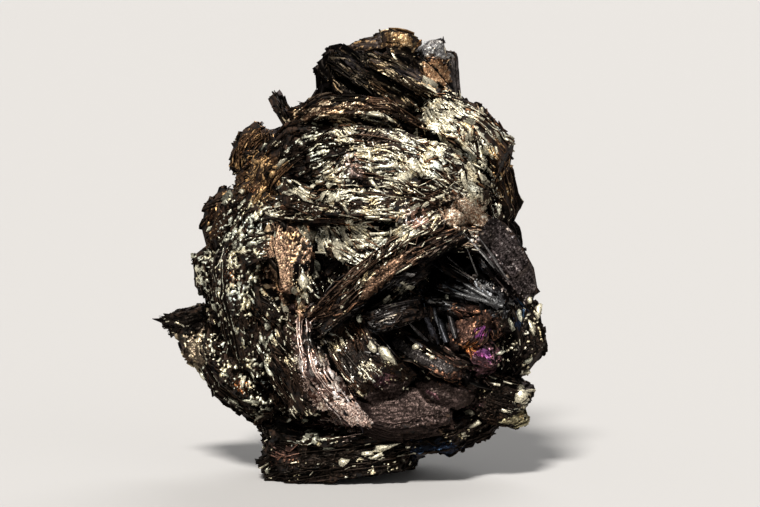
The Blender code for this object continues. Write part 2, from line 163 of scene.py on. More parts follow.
GLINT_CREAM = (248, 239, 210)
GLINT_GREENISH = (226, 224, 200)
GLINT_GOLD = (206, 168, 120)
LOOKS = {name: Look(*row) for name, row in {
    "glitter": ((70, 52, 40), (10, 8, 7), GLINT_CREAM, 0.47, 1.7, (1.8, 0.2, 0.4), 0),
    "bloom": ((128, 102, 80), (20, 16, 13), GLINT_CREAM, 0.8, 1.9, (2, 0.2, 0.4), 0),
    "blaze": ((92, 71, 54), (12, 9, 8), GLINT_CREAM, 0.66, 1.9, (2, 0.2, 0.4), 0),
    "shade": ((38, 30, 24), (8, 6, 6), GLINT_GREENISH, 0.1, 1.7, (1.6, 0.2, 0.4), 0),
    # This finish is near black and without glints: painted shade for the dome's pit and the recess's deep
    # parts
    "void": ((14, 12, 12), (3, 3, 3), GLINT_CREAM, 0.01, 1, (1.6, 0.18, 0.05), 0),
    "speckle": ((58, 46, 37), (8, 6, 6), GLINT_GREENISH, 0.33, 1.8, (1, 0.25, 0.4), 0),
    "flank": ((54, 42, 33), (9, 7, 6), GLINT_GREENISH, 0.17, 1.8, (1.2, 0.24, 0.4), 0),
    "bronze": ((92, 68, 48), (22, 16, 12), GLINT_GOLD, 0.16, 1.5, (1.5, 0.2, 0.35), 0),
    "olive": ((54, 40, 30), (24, 18, 14), GLINT_GOLD, 0.02, 1.3, (1.5, 0.2, 0.3), 0),
    "brow": ((90, 68, 52), (32, 23, 18), (214, 190, 158), 0.18, 1.3, (3.2, 0.18, 0.28), 0),
    "cap": ((21, 18, 14), (5, 4, 4), (112, 100, 84), 0.05, 1.2, (3, 0.15, 0.24), 0),
    "cap_leaf": ((68, 56, 43), (17, 14, 10), (196, 180, 150), 0.07, 1.2, (2.8, 0.15, 0.24), 0),
    "cap_grey": ((42, 35, 29), (8, 7, 6), (196, 180, 150), 0.06, 1.3, (2.8, 0.15, 0.24), 0),
    "ridge": ((100, 79, 65), (16, 12, 11), GLINT_CREAM, 0.09, 1.5, (3.4, 0.16, 0.3), 0),
    "umber": ((61, 47, 38), (10, 8, 7), GLINT_CREAM, 0.09, 1.5, (2.4, 0.18, 0.3), 0),
    "soot": ((34, 29, 25), (7, 6, 6), GLINT_CREAM, 0.03, 1.5, (2.2, 0.16, 0.3), 0),
    "slate": ((54, 50, 49), (11, 10, 11), (166, 162, 158), 0.07, 1.3, (3, 0.15, 0.24), 0),
    "steel": ((70, 70, 71), (18, 18, 20), (150, 150, 150), 0.08, 1.2, (3, 0.12, 0.2), 0.12),
    # This finish is painted light: near white, so that a patch in the shaded recess shows as lit
    "silver": ((220, 220, 220), (110, 110, 112), (255, 255, 255), 0.45, 1.2, (0.9, 0.12, 0.25), 0.25),
    "wing": ((80, 71, 70), (7, 6, 6), (166, 156, 152), 0.09, 1, (0.9, 0.12, 0.28), 0.3),
    "rear": ((58, 44, 33), (20, 16, 13), GLINT_GOLD, 0.08, 1.5, (1.4, 0.22, 0.25), 0),
    # The rear crystal's grey top: partly its own colour, partly a painted highlight of the light from above
    "rear_grey": ((150, 148, 146), (88, 86, 88), (222, 220, 214), 0.26, 1.2, (1, 0.14, 0.28), 0.35),
    "rear_rust": ((170, 130, 96), (100, 74, 54), (236, 206, 166), 0.22, 1.2, (1, 0.14, 0.28), 0.35),
    "gold": ((160, 128, 90), (100, 77, 54), (240, 214, 172), 0.24, 1.2, (1, 0.14, 0.28), 0.35),
    "ochre": ((255, 220, 188), (140, 108, 87), (255, 244, 220), 0.5, 1.1, (0.8, 0.13, 0.28), 0.45),
    "rust": ((106, 78, 66), (50, 37, 33), (170, 126, 100), 0.12, 1.3, (1.5, 0.15, 0.28), 0.35),
    "ember": ((130, 74, 42), (76, 42, 25), (214, 140, 86), 0.3, 1.4, (1, 0.18, 0.28), 0.4),
    "violet": ((170, 92, 156), (112, 60, 108), (182, 112, 178), 0.28, 1.2, (1, 0.14, 0.28), 0.3),
    "plum": ((106, 74, 78), (56, 40, 43), (156, 118, 120), 0.12, 1.2, (1.6, 0.14, 0.28), 0.25),
    "indigo": ((34, 42, 58), (17, 25, 38), (74, 100, 130), 0.1, 1.2, (2.2, 0.12, 0.25), 0.15),
    "khaki": ((146, 136, 106), (110, 102, 78), (196, 188, 156), 0.24, 1.2, (1.6, 0.12, 0.22), 0.15),
    "chips": ((48, 40, 35), (9, 8, 7), GLINT_CREAM, 0.06, 2, (1.4, 0.26, 0.4), 0),
    "pale": ((120, 106, 88), (58, 50, 42), (184, 170, 142), 0.18, 1.5, (1.2, 0.18, 0.28), 0.35),
    "sheet": ((60, 49, 46), (32, 25, 23), (100, 87, 80), 0.03, 1.2, (2.8, 0.1, 0.24), 0.14),
    "leaf": ((206, 168, 138), (66, 50, 40), (226, 196, 156), 0.18, 1.3, (2.2, 0.12, 0.28), 0.2),
    "salmon": ((255, 222, 204), (96, 74, 68), (250, 236, 226), 0.26, 1.2, (2, 0.13, 0.28), 0.22),
    "flesh": ((206, 172, 152), (140, 110, 96), (246, 234, 222), 0.36, 1.4, (1.1, 0.16, 0.28), 0.35),
    "mist": ((112, 108, 112), (64, 62, 68), (180, 180, 184), 0.18, 1.3, (2, 0.13, 0.26), 0.2),
    "silk": ((54, 49, 45), (8, 7, 7), (228, 224, 212), 0.09, 1.3, (2.2, 0.15, 0.28), 0),
    "hide": ((118, 91, 72), (34, 25, 20), (190, 158, 130), 0.14, 1.2, (2.2, 0.14, 0.28), 0.2),
    "slate_face": ((72, 67, 65), (34, 31, 31), (130, 126, 122), 0.05, 1.2, (2.2, 0.14, 0.28), 0.2),
    "foot": ((40, 33, 28), (8, 7, 6), GLINT_CREAM, 0.035, 1.8, (2.4, 0.17, 0.34), 0),
    "core": ((28, 24, 21), (8, 7, 7), GLINT_CREAM, 0.03, 1.5, (2, 0.18, 0.3), 0),
}.items()}
LOOK_NAMES = list(LOOKS)

# Finishes with few long plates, and finishes whose skin is grainy rather than streaked
FEW_LONG = ("glitter", "flank", "shade")
GRAINY = (
    "speckle", "flank", "chips", "ochre", "gold", "flesh", "pale", "rear_grey", "rear_rust", "foot",
    "salmon", "leaf", "sheet", "rust", "plum", "wing",
)

# Areas of the front with a finish of their own; a later one covers an earlier one. at is the middle of one in
# the picture, in millimetres to the right of and above the picture's middle, half is its half width and
# height, and turn is its angle.
Area = namedtuple("Area", "at half turn look")

AREAS = [Area(*row) for row in (
    # The dome
    ((-11.9, 16.8), (6.1, 8.6), 10, "shade"),
    ((-9, 14.3), (2.7, 3.1), 40, "glitter"),
    ((-1.4, 20.8), (4.7, 1.3), -14, "ridge"),
    ((2.2, 16.8), (4.3, 0.9), 14, "umber"),
    ((17.6, 9.6), (2.9, 4.3), -20, "umber"),
    ((-0.4, 24.2), (4.3, 1.3), -4, "blaze"),
    ((14.8, 23.7), (7.9, 3.8), -35, "bloom"),
    ((-10.4, 19.3), (6.5, 3.2), 10, "shade"),
    ((-6.3, 21.7), (2.9, 1.6), 10, "glitter"),
    ((0.9, 16.3), (4.7, 1.6), -8, "blaze"),
    ((11.9, 15), (7.6, 2.9), -32, "blaze"),
    ((5, 17.6), (4.3, 0.6), 12, "soot"),
    ((-5, 16.1), (1.3, 2), 20, "flesh"),
    # The dome's pit, in painted shade
    ((-3.6, 12.5), (2.2, 1.1), -20, "void"),
    # The bands under the dome
    ((-7.9, 11.2), (9, 1.6), -4, "blaze"),
    ((-11.2, 7.8), (5.8, 0.7), 4, "glitter"),
    ((-11.2, 8.5), (6.8, 0.6), -6, "umber"),
    ((9, 8.7), (5.4, 1.3), 22, "umber"),
    ((0, 4.6), (9, 2.9), 12, "bloom"),
    ((6.1, 6.2), (2.3, 2.2), 0, "flesh"),
    ((-9.7, 2.8), (4.7, 1.8), -30, "blaze"),
    # The dome's right rim and the crown above the recess
    ((22.1, 15.4), (1.8, 6.5), 8, "bronze"),
    ((15.5, 7.1), (4.7, 3.1), -18, "ochre"),
    # The leaf left of the recess
    ((-18.7, -1.5), (2, 7.2), -8, "leaf"),
    ((-17.3, -1.5), (0.9, 3.6), -10, "rust"),
    ((-15.8, -8.9), (3.2, 1.4), -45, "leaf"),
    ((-14, -5), (1.6, 2.5), 10, "blaze"),
    ((-18.9, -9.3), (3.2, 1.6), -30, "soot"),
    # The left flank
    ((-22, 13.9), (5, 5.4), 30, "bronze"),
    ((-24.8, 6), (2.9, 4.3), 0, "speckle"),
    ((-27.4, -2.6), (5, 4.7), 0, "speckle"),
    ((-26.1, -12), (4, 4.3), 0, "flank"),
    # The long ridge
    ((1.8, -7.6), (2.2, 1.1), 35, "blaze"),
    ((3.6, 1.5), (8.3, 0.9), 33, "glitter"),
    # The salmon band and the arcs
    ((-11.5, -16.5), (2.5, 4.3), -10, "silk"),
    ((-11.2, -23.7), (2, 8.3), 22, "salmon"),
    ((-7.9, -30.7), (4, 2.3), -20, "salmon"),
    ((-4.3, -29.2), (3.6, 1.3), 20, "mist"),
    ((-4, -19.9), (3.6, 2.9), -40, "silk"),
    ((-1.8, -21.3), (2.2, 1.4), -30, "blaze"),
    ((-0.4, -16.8), (2.9, 1.8), -30, "slate"),
    # The smooth sheet and the jumble above its right end
    ((6.8, -26.7), (9.7, 4), 3, "sheet"),
    ((0.9, -22.8), (1.6, 1.1), 0, "plum"),
    ((16.2, -26.4), (2, 1.4), 0, "plum"),
    ((16.9, -12.9), (5, 2.9), -20, "rust"),
    ((11.9, -21), (3.6, 2.5), -20, "rust"),
    ((17.8, -14.7), (0.5, 0.9), -20, "violet"),
    ((18.4, -18.4), (1.6, 1), 10, "violet"),
    ((16.2, -17), (1.3, 0.9), -40, "ember"),
    # The slab
    ((-11.7, -33.2), (5, 1.6), 8, "speckle"),
    ((-17.6, -36.4), (2.5, 1.3), 10, "rust"),
    ((9.4, -35.7), (4.7, 1.6), 8, "indigo"),
    # The right edge
    ((25.9, -11.6), (1.4, 2.3), 0, "indigo"),
    ((27, -13.8), (1.8, 4.7), 0, "chips"),
    ((25.6, -25.8), (1.4, 2.3), -10, "blaze"),
    # The lower left flank
    ((-33.5, -17.7), (2.2, 3.1), -20, "pale"),
    ((-24.7, -23.8), (0.9, 1.3), 30, "ember"),
    ((-26.6, -4.4), (0.5, 0.7), 0, "ember"),
    ((-21.2, -17.4), (2.5, 3.6), -20, "speckle"),
    # The wing and the recess
    ((23, -1.5), (4.5, 8.3), 36, "wing"),
    # The recess's deep parts, in painted shade
    ((10.8, -1.5), (3.6, 2.5), 30, "void"),
    ((7.2, -11.6), (3.2, 3.2), 0, "void"),
    ((14.8, -2.6), (6.1, 3.6), -35, "void"),
    # A patch of painted light in the recess
    ((18, -6.6), (2.3, 1.4), -20, "silver"),
    # The knob, the rear crystal and the cap
    ((-30.6, 7.5), (2.7, 5.8), 0, "olive"),
    ((10.4, 32.3), (2.5, 3.2), 0, "rear_rust"),
    ((13, 32.7), (1.1, 5), -4, "slate_face"),
    ((-6.3, 31.6), (4.7, 5), -20, "cap"),
)]
# How ragged an area's border is, and how wide the noise is that makes it so
AREA_RAGGED = 0.30
AREA_RAGGED_SIZE = 2.0

# What counts as the front: it faces the camera at least this much, and is nearer than this along Y
FRONT_FACING = -0.1
FRONT_DEPTH = 14

# Where the front's lines swirl away from those of the books: the middle and the half sizes of each place in
# the picture, and the angle of its lines
Flow = namedtuple("Flow", "at half angle")

FLOWS = [Flow(*row) for row in (
    # The dome
    ((-9, 14.1), (4.7, 4), 52),
    ((-11.5, 20.4), (5, 2.5), 22),
    ((3.2, 15.4), (6.5, 3.6), -28),
    ((13, 12.9), (5.8, 4.3), -42),
    ((14.8, 24), (6.8, 4.3), -40),
    ((5, 25.5), (4.7, 2.2), -35),
    ((-2.2, 20.4), (4, 2.2), -12),
    ((-4.3, 12.9), (2.5, 1.8), -50),
    # The bands under the dome
    ((-14, 10), (4.7, 2.2), -20),
    ((4, 8.9), (5.8, 1.6), 18),
    ((-6.8, 4.6), (4.7, 2.9), -38),
    ((2.2, 3.9), (4, 3.2), 48),
    # The dome's right side
    ((19.4, 13.2), (2.9, 7.6), -66),
    # The left flank
    ((-27.9, -1.5), (3.6, 3.2), -20),
    ((-26.6, -10.2), (3.6, 3.2), 40),
    ((-16.2, -13.8), (3.6, 6.1), -66),
    ((-23.4, -12), (3.2, 5.4), -70),
    # The arcs
    ((-3.2, -20.6), (3.6, 3.2), -52),
    ((-5.4, -26.4), (4.7, 2.5), -32),
    # The right edge
    ((22.5, -15.6), (3.2, 6.1), 80),
    # The brow
    ((-12.2, 25.5), (2.5, 2.9), 40),
    ((1.8, 26.6), (2.9, 1.4), -16),
)]
# How strongly a flow turns the lines, how fast that fades, and how far back it reaches along Y
FLOW_PULL = 4.0
FLOW_FADE = 1.5
FLOW_DEPTH = 5

# Thick chips painted bright as glints, which are painted highlights: the place in the picture, the length and
# the width, the angle, and the colour, which is the cream glint colour where a row doesn't say
Chip = namedtuple("Chip", "at size turn colour", defaults=[GLINT_CREAM])

CHIPS = [Chip(*row) for row in (
    ((1.3, -18.3), (4, 1.6), -46),
    ((-1.3, -16.8), (2.2, 1.3), -50),
    ((6.5, -16.8), (1.3, 1.1), 0),
    ((9.4, -18.6), (0.9, 0.7), 0),
    ((11.9, -8), (0.7, 1.4), 5, GLINT_GREENISH),
    ((4, -5.1), (1.1, 0.5), -30),
    ((0.9, -34.8), (4.7, 1.3), 16),
    ((-2.5, -35.9), (2.9, 0.9), 4),
    ((-0.4, -36.4), (2.9, 0.9), 18),
    ((-6.5, -37.5), (2, 1.6), 30),
    ((5, -34.8), (0.9, 0.5), 0),
    ((16.9, -30.7), (2.7, 1.3), 14),
    ((14.8, -32.5), (1.1, 0.5), 10),
    ((-13.7, -5.1), (1.8, 2.9), 12),
    ((-12.2, -2.4), (0.7, 1.4), 20),
    ((23.6, -13), (0.9, 3.1), 15, GLINT_GREENISH),
    ((28.4, -10.5), (1.1, 3.6), -10),
    ((27.2, -13.4), (1.3, 3.1), 12),
    ((26.8, -8.4), (0.7, 1.3), 0),
    ((25.2, -11.1), (0.9, 2.2), 10, GLINT_GREENISH),
    ((26.5, -19.2), (2.5, 0.9), 25, GLINT_GREENISH),
    ((21.6, -17.9), (2, 0.7), 15, GLINT_GREENISH),
    ((25.9, -22.4), (2.2, 1.6), -20),
    ((25.2, -25.6), (2.5, 2.2), 40),
    ((26.3, -21.3), (1.4, 0.7), 0),
    ((-24.7, -23.3), (0.9, 2.5), -22),
    ((-23, -26.7), (3.2, 0.5), -6, GLINT_GREENISH),
    ((-19.8, -21.3), (0.9, 2.3), 25, GLINT_GREENISH),
    ((-26.3, -26.4), (2.2, 0.5), -30, GLINT_GREENISH),
    ((-21.2, -15.6), (0.7, 1.6), 10, GLINT_GREENISH),
    ((-28.4, -1.5), (0.9, 0.9), 0),
    ((-24.3, 0.3), (1.1, 0.9), 0),
    ((-27.4, 2.4), (1.1, 0.9), 0, GLINT_GREENISH),
    ((-23.4, 3.9), (1.3, 0.9), 30, GLINT_GREENISH),
    ((-19.4, 14.3), (1.1, 1.4), -20, GLINT_GOLD),
    ((-24.8, 11.1), (1.1, 0.9), 0),
    ((-25.9, 14.7), (0.7, 0.5), 0),
    ((2.2, 36.3), (0.9, 0.5), 0, GLINT_GOLD),
    ((-0.7, 24.9), (4, 0.9), -6),
    ((-5.2, 17.6), (1.3, 0.9), 60),
    ((9, 17.6), (1.8, 2.2), -50),
    ((6.3, 15.4), (2.9, 1.3), -30),
    ((-9, 12.5), (1.6, 1.1), 20),
    ((-7.2, -0.8), (0.7, 0.7), 0),
    ((1.1, -8), (1.6, 0.7), 45),
    ((-3.6, -11.6), (1.1, 1.6), 0, GLINT_GREENISH),
    ((-13.3, -30), (1.4, 0.7), -20, GLINT_GREENISH),
    ((-9.2, -35), (2.9, 0.9), 10, GLINT_GREENISH),
    ((-11.7, -33.6), (1.4, 1.3), 0, GLINT_GREENISH),
    ((-20.2, -39), (0.7, 1.1), 0, GLINT_GREENISH),
)]
# A chip's outline and its tones, the way it faces, how far it is lifted, its thickness, how much wider it is
# below, and how much darker its sides are than its top: painted shade
CHIP_CORNERS = 9
CHIP_SPACING = 0.3
CHIP_REACH = (0.55, 1.2)
CHIP_TONE = (0.4, 1.1)
CHIP_TO_SURFACE = 0.45
CHIP_TO_CAMERA = 0.55
CHIP_LEAN = 0.25
CHIP_LIFT = 0.3
CHIP_HALF_THICKNESS = 0.5
CHIP_FLARE = 1.1
CHIP_SIDE_SHADE = 0.7

# Long thin blades of the recess: the two ends' places in the picture, how far they stand out of the surface
# behind them, the width and the colour, which is made light so that they show bright in the recess's shade:
# painted light
Blade = namedtuple("Blade", "start end lift width colour")

BLADES = [Blade(*row) for row in (
    ((21.4, -9.1), (9.5, -6.2), (1.2, 3), 1.44, (112, 112, 113)),
    ((21.6, -9.3), (14.9, -5.3), (0.8, 1), 2.52, (88, 88, 90)),
    ((21.1, -8.7), (10.4, -5.7), (1.1, 1.5), 0.99, (140, 140, 140)),
    ((20.7, -8.5), (11.3, -5), (1, 1.4), 1.08, (124, 124, 124)),
    ((20.5, -8.4), (11.9, -4.4), (1, 1.2), 0.72, (150, 150, 150)),
    ((20.9, -8.9), (13, -6.9), (1.4, 1.8), 0.9, (112, 112, 112)),
    ((20.2, -8.4), (13.7, -5.5), (1.2, 1.4), 0.9, (130, 130, 130)),
    ((20.2, -8.2), (14.6, -5.1), (1.2, 1.3), 0.72, (118, 118, 118)),
    ((19.8, -8.2), (15.7, -4.6), (1.3, 1.4), 0.72, (140, 140, 140)),
    ((22.1, -9.4), (14.8, -7.8), (1.5, 1.8), 1.08, (110, 110, 110)),
    ((23.8, -8.7), (17.6, -5.3), (1.2, 1.8), 1.08, (150, 148, 147)),
    ((23, -8.4), (18.7, -5.5), (1.4, 1.6), 0.72, (165, 162, 160)),
    ((24.1, -9.1), (19.8, -7.6), (1.3, 1.4), 0.72, (140, 138, 137)),
    ((20.5, -2.6), (14.8, 4), (1.2, 1.8), 0.32, (215, 213, 210)),
    ((21.1, -1.5), (17.3, 3.5), (1, 1.4), 0.27, (150, 148, 146)),
    ((23, -4.8), (18.2, 2.4), (1.4, 1.4), 0.43, (130, 126, 124)),
    ((22.1, -4), (16.6, 2.4), (1, 1.2), 0.36, (90, 88, 87)),
    ((16.9, -4.6), (12.1, -1.7), (0.8, 1.2), 0.36, (190, 180, 172)),
    ((18, -5.5), (12.6, -2.6), (0.8, 1), 0.36, (150, 148, 146)),
    ((17.6, -4), (15.5, 1.3), (0.6, 0.8), 0.29, (120, 118, 116)),
    ((16.2, -4), (11.5, -0.1), (0.6, 0.6), 0.32, (130, 128, 126)),
    ((12.1, -15.9), (8.5, -6.4), (1, 1.2), 1.62, (62, 63, 67)),
    ((11, -15.2), (9.2, -7.6), (1.2, 1.3), 0.72, (86, 87, 90)),
    ((10.4, -16.3), (7.2, -9.1), (0.8, 0.8), 1.08, (74, 74, 80)),
    ((13.7, -15.2), (11.7, -7.6), (1, 1), 1.26, (60, 58, 58)),
    ((8.6, -15.9), (5, -12.3), (0.6, 0.6), 0.72, (84, 82, 82)),
    ((7.6, -16.8), (4.7, -14.7), (0.6, 0.6), 0.72, (96, 93, 93)),
)]
# A blade's thickness, how its width runs, how far its root lies back, and the tones of its edge and of its
# faces:
# the edge is mostly lighter, a painted highlight
BLADE_STEPS = 9
BLADE_THICKNESS = 0.14
BLADE_START = 0.7
BLADE_SWELL = 0.3
BLADE_RAGGED = (0.85, 1.1)
BLADE_ROOT = 0.5
BLADE_RIMS = (0.7, 1.7)
BLADE_FACES = (0.6, 1.2)

# Crusts: parts of the front where one leaf or a grainy coat covers the plates. lift is how far it stands out,
# grain the height of its roughness, lines the angle of its fine lines, and outline its border in the picture.
Crust = namedtuple("Crust", "look lift grain lines outline")

CRUSTS = [Crust(*row) for row in (
    # The crown above the recess, and the wing's face
    ("ochre", 0.9, 0.16, -35, (
        (11.5, 6.8), (12.2, 8.9), (14.4, 10.3), (16.9, 9.6), (19.4, 7.5), (19.8, 5.7), (18.4, 4),
        (15.8, 4.8), (13.9, 3.7), (11.9, 4.6),
    )),
    ("wing", 0.3, 0.13, -52, (
        (17.3, 7.1), (20.2, 6.8), (22.5, 5.3), (24.5, 2.8), (25.6, 1.2), (27.2, -1.5), (28.4, -3.9),
        (28.4, -6.4), (27.2, -7.5), (24.7, -7.1), (23, -4.6), (20.5, -0.8), (18.5, 2.8),
    )),
    # The leaf left of the recess
    ("leaf", 0.5, 0.1, -82, (
        (-18.7, 5.3), (-17.5, 4.6), (-16.4, 2.4), (-15.5, -1.5), (-15.5, -5.5), (-16.7, -7.3),
        (-18.2, -6.6), (-19.4, -4), (-20.3, -1.2), (-20, 2.4),
    )),
    ("leaf", 0.4, 0.08, -38, (
        (-18.7, -7.3), (-16.9, -8), (-14.8, -9.4), (-13, -11.2), (-13.3, -12), (-15.5, -10.9),
        (-18, -9.1),
    )),
    # The smooth sheet, and the salmon band with its foot
    ("sheet", 0.35, 0.07, 6, (
        (-5, -26), (-0.4, -24.2), (3.6, -22.8), (9.4, -22.1), (14.8, -23.5), (18, -25.6),
        (18.4, -27.4), (15.5, -28.5), (9, -29.6), (2.9, -31.4), (-2.5, -30.7),
    )),
    ("salmon", 0.35, 0.1, -30, (
        (-11.2, -24.9), (-9, -26), (-5.8, -26.7), (-2.5, -27.8), (-0.4, -30), (-1.4, -31.8),
        (-5.4, -32.5), (-8.3, -30.7), (-10.4, -28.2),
    )),
    ("salmon", 0.35, 0.09, -70, (
        (-14.2, -18.4), (-13.1, -18.4), (-12.1, -21.7), (-10.4, -24.2), (-9, -26), (-11, -26.2),
        (-13, -23.5), (-14, -21),
    )),
    # The gold lump and its shelf
    ("gold", 0.35, 0.1, -20, (
        (1.4, 39.5), (3.2, 40.4), (5, 40), (6.1, 38.4), (6.1, 36.6), (4.3, 36.8), (2.5, 37.7),
    )),
    ("rear", 0.25, 0.08, 0, (
        (-6.1, 37.7), (-2.5, 38.6), (1.1, 38.4), (2.5, 37.4), (0.7, 36.1), (-3.6, 36.3), (-5.8, 36.6),
    )),
    # The rear crystal
    # The grey top: partly its own colour, partly a painted highlight of the light from above
    ("rear_grey", 0.3, 0.12, 60, (
        (6.8, 37.4), (8.6, 38.6), (10.8, 38.6), (13, 37.4), (13.7, 35.2), (11.9, 34.5), (9.4, 35.2),
        (7.2, 35.2),
    )),
    ("rear_rust", 0.3, 0.12, 70, (
        (7.2, 34.8), (9.7, 34.8), (12.6, 34.1), (13.3, 30.9), (11.5, 29.8), (9, 30.5), (7.6, 32.7),
    )),
    # The khaki chip, the pale patch and the slab's blue face
    ("khaki", 0.3, 0.06, 14, (
        (20.2, -30.7), (22.5, -29.2), (25.9, -28.3), (26.8, -29.2), (25.2, -30.7), (22.3, -31.4),
    )),
    ("pale", 0.3, 0.12, -40, (
        (-35.1, -15.9), (-33.8, -14.8), (-32, -15.9), (-31, -18.4), (-31.5, -20.6), (-33.1, -20.2),
        (-34.6, -18.4),
    )),
    ("indigo", 0.25, 0.05, 6, (
        (5.4, -35), (9, -34.3), (13, -33.9), (14.8, -34.6), (13, -36.4), (9.7, -37.4),
        (6.1, -37.2),
    )),
    # The long ridge
    ("hide", 0.3, 0.08, 40, (
        (-3.2, -5.5), (-1.1, -2.6), (2.2, -0.4), (4.7, 0.6), (5, -1.5), (2.9, -4), (0, -6.9),
        (-2.5, -8.7), (-4, -8.4),
    )),
    # The plate, the jumble's leaves and the mauve leaf
    ("slate_face", 0.3, 0.06, -30, (
        (0.7, -15.6), (3.6, -14.8), (8.1, -17.4), (12.2, -19.2), (14.8, -21), (12.2, -22.4),
        (7.9, -20.6), (3.2, -18.4),
    )),
    ("rust", 0.35, 0.08, -60, (
        (13, -11.6), (15.1, -10.9), (16.9, -12.3), (16.9, -15.6), (15.5, -16.6), (13.7, -14.5),
    )),
    ("rust", 0.35, 0.08, -40, (
        (16.9, -9.8), (18.7, -9.4), (20.5, -11.2), (20.5, -13), (18.4, -12.7),
    )),
    ("plum", 0.5, 0.06, -35, (
        (7.2, -23.5), (10.4, -24.6), (11.5, -26.4), (10.1, -27.1), (7.9, -25.6),
    )),
    # The brow
    ("brow", 0.3, 0.1, 4, (
        (-14.4, 24.4), (-11.5, 26.2), (-7.2, 27.1), (-1.4, 26.7), (3.2, 25.8), (2.9, 24.6), (-2.2, 25.3),
        (-7.2, 25.5), (-11.2, 24.4), (-13.7, 22.9),
    )),
)]
# A crust's grid, how it sinks at its border, how it drapes over what is under it, and where it is torn
CRUST_STEP = 0.16
CRUST_BORDER = 0.7
CRUST_RAGGED = 0.35
CRUST_SINK = 0.35
CRUST_DRAPE = 0.6
CRUST_DEEPEST = 2
DRAPE_RAISED = 2
DRAPE_SMOOTHED = 3
CRUST_TEAR = 2.2

# How deep inside its border a crust covers the plates, and the share of them that still shows
CRUST_COVER = 0.2
CRUST_PLATES = 0.15

# A crust's patterns: their sizes, where their noise starts, and how the fine lines are drawn out
CRUST_ROUGH_SIZE = 0.7
CRUST_ROUGH_START = 7
CRUST_BROAD_SIZE = 2.6
CRUST_BROAD_START = 31
CRUST_BROAD = 0.5
CRUST_GRIT = 0.6
CRUST_LINE_SIZE = 0.8
CRUST_LINE_STRETCH = (0.3, 2.4)

# A crust's tint: a base, and what its lined, rough and broad patterns add. Its bright grains, painted glints
# in the finish's glint colour, begin where the rough pattern and these parts of the lined and of the gritty
# one pass a level, with an edge this sharp.
CRUST_LIGHT = (0.45, 0.9, 0.7, 0.5)
CRUST_MOST_LIGHT = 1.3
CRUST_GRIT_TINT = (0.5, 1.2)
CRUST_BRIGHT = (0.8, 0.5)
CRUST_BRIGHT_LEVEL = 0.85
CRUST_BRIGHT_EDGE = 4

# The skin of fine streaks over the whole specimen, in sheets. Each sheet is laid from one side, with cells of
# this size, and the one with the highest claim takes a face that two could have.
View = namedtuple("View", "name azimuth rise step claim")

VIEWS = (
    View("front", 0, 5, 0.14, 0.45),
    View("right", 74, 6, 0.27, 0.0),
    View("back_right", 135, 8, 0.27, 0.0),
    View("back", 190, 8, 0.27, 0.0),
    View("back_left", 240, 8, 0.27, 0.0),
    View("left", 290, 6, 0.27, 0.0),
    View("top", 180, 78, 0.27, 0.0),
)
# How far away a view's rays start, how much two views overlap, and the steepest face that one takes
VIEW_DISTANCE = 100
VIEW_OVERLAP = 0.08
VIEW_STEEPEST = 0.12

# The skin's streaks: their lengths, how they swirl, and the grains that take their place on grainy finishes
SKIN_SEED = 70
SHORT_STREAK = 0.6
LONG_STREAK = 1.5
STREAK_SWIRL = 0.75
SWIRL_SIZES = (5.0, 1.7)
SMALL_SWIRL = 1.2
SMALL_SWIRL_START = 20
BLOT_SIZE = 0.2
PEPPER = (0.45, 0.7)

# How far the finishes run into each other on the skin, in millimetres
SKIN_SPREAD = 0.5

# The skin's relief: how far it lies above the solid, what its streaks add, how it sinks at its border, and
# where it is torn
SKIN_LIFT = 0.10
SKIN_GRAIN = 0.62
SKIN_RANGE = (-0.3, 0.5)
SKIN_SINK = 0.4
SKIN_TEAR = 1.6
SKIN_HIDDEN = -0.05
SKIN_BORDER = (1, 2, 3)
NOTHING_BEHIND = -1000.0
SKIN_RELIEF = (0.0, 0.55, 0.60)

# The skin's tint: dull streaks, and bright streaks painted as glints. Each set of three is a base, and what
# the fine and the coarse streaks add to it.
SKIN_DULL = (0.40, 0.50, 0.24)
SKIN_GLOW = (0.80, 0.26, 0.16)
MOST_DULL = 1.5
GLOW_RANGE = (0.25, 1.25)
PATCH_TONE = 0.55
SHINE_STREAKS = 0.62
SHINE_CLOUDS = 1.5
SHINE_EDGE = 5.0
SHINE_GAPS = 1.6
SHINE_GAP_LEVEL = 0.3
SHINE_LEAST = 0.05
CLOUD_TINT = (0.10, -0.10, -0.40)

# The outline of a book's plates, as in the solid
SQUARENESS = 2.6
WOBBLE = {2: 0.06, 3: 0.06, 5: 0.05}
OUTLINE_POINTS = 8
LONG_OUTLINE_POINTS = 10
LONG_BOOK = 24.0

# The short plates: how many grow in a square millimetre, how they follow the books, and where none grow
DENSITY = 1.3
NEAR_BOOK = 1.14
LOOK_SPREAD = 0.6
FACE_ON = 0.80
STRAY_SIZE = 9.0
STRAY_START = 7.0
STRAY_BIAS = 0.3
UNDERSIDE_FACING = -0.99
UNDERSIDE_HEIGHT = 0.3
FLOOR_GAP = 0.02

# How they lean. Scales are plates that lie nearly flat on the surface.
LEAN = 0.14
SWIRL = 0.20
SWIRL_SIZE = 5.0
SWIRL_START = 3.0
FLAT_TILT = 0.35
TILT_RANGE = (0.5, 1.5)
UPWARD = 0.12
SCALE_SWIRL = 0.4
SCALE_LEAN = 0.6
BRIGHT_SCALES = 0.5
BRIGHT_TILT = 0.45

# Their lengths, and how far they stand out of the surface and reach into it. The flake powers say how much of
# a bright plate's extra width also goes to its length and to how far it stands out.
LENGTH_SPREAD = 0.42
THICKNESS_SPREAD = 0.35
FLAKE_LENGTH = 0.3
FLAKE_OUT = 0.5
OUT_RANGE = (0.0, 1.15)
SCALE_RISE = 0.4
LEAST_OUT = -0.4
MOST_OUT = 0.55
ROOT_OUT = -0.25
SINK = 0.9
SCALE_SINK = 0.5
LEAST_CLIMB = 0.45
LEAST_SCALE_CLIMB = 0.28

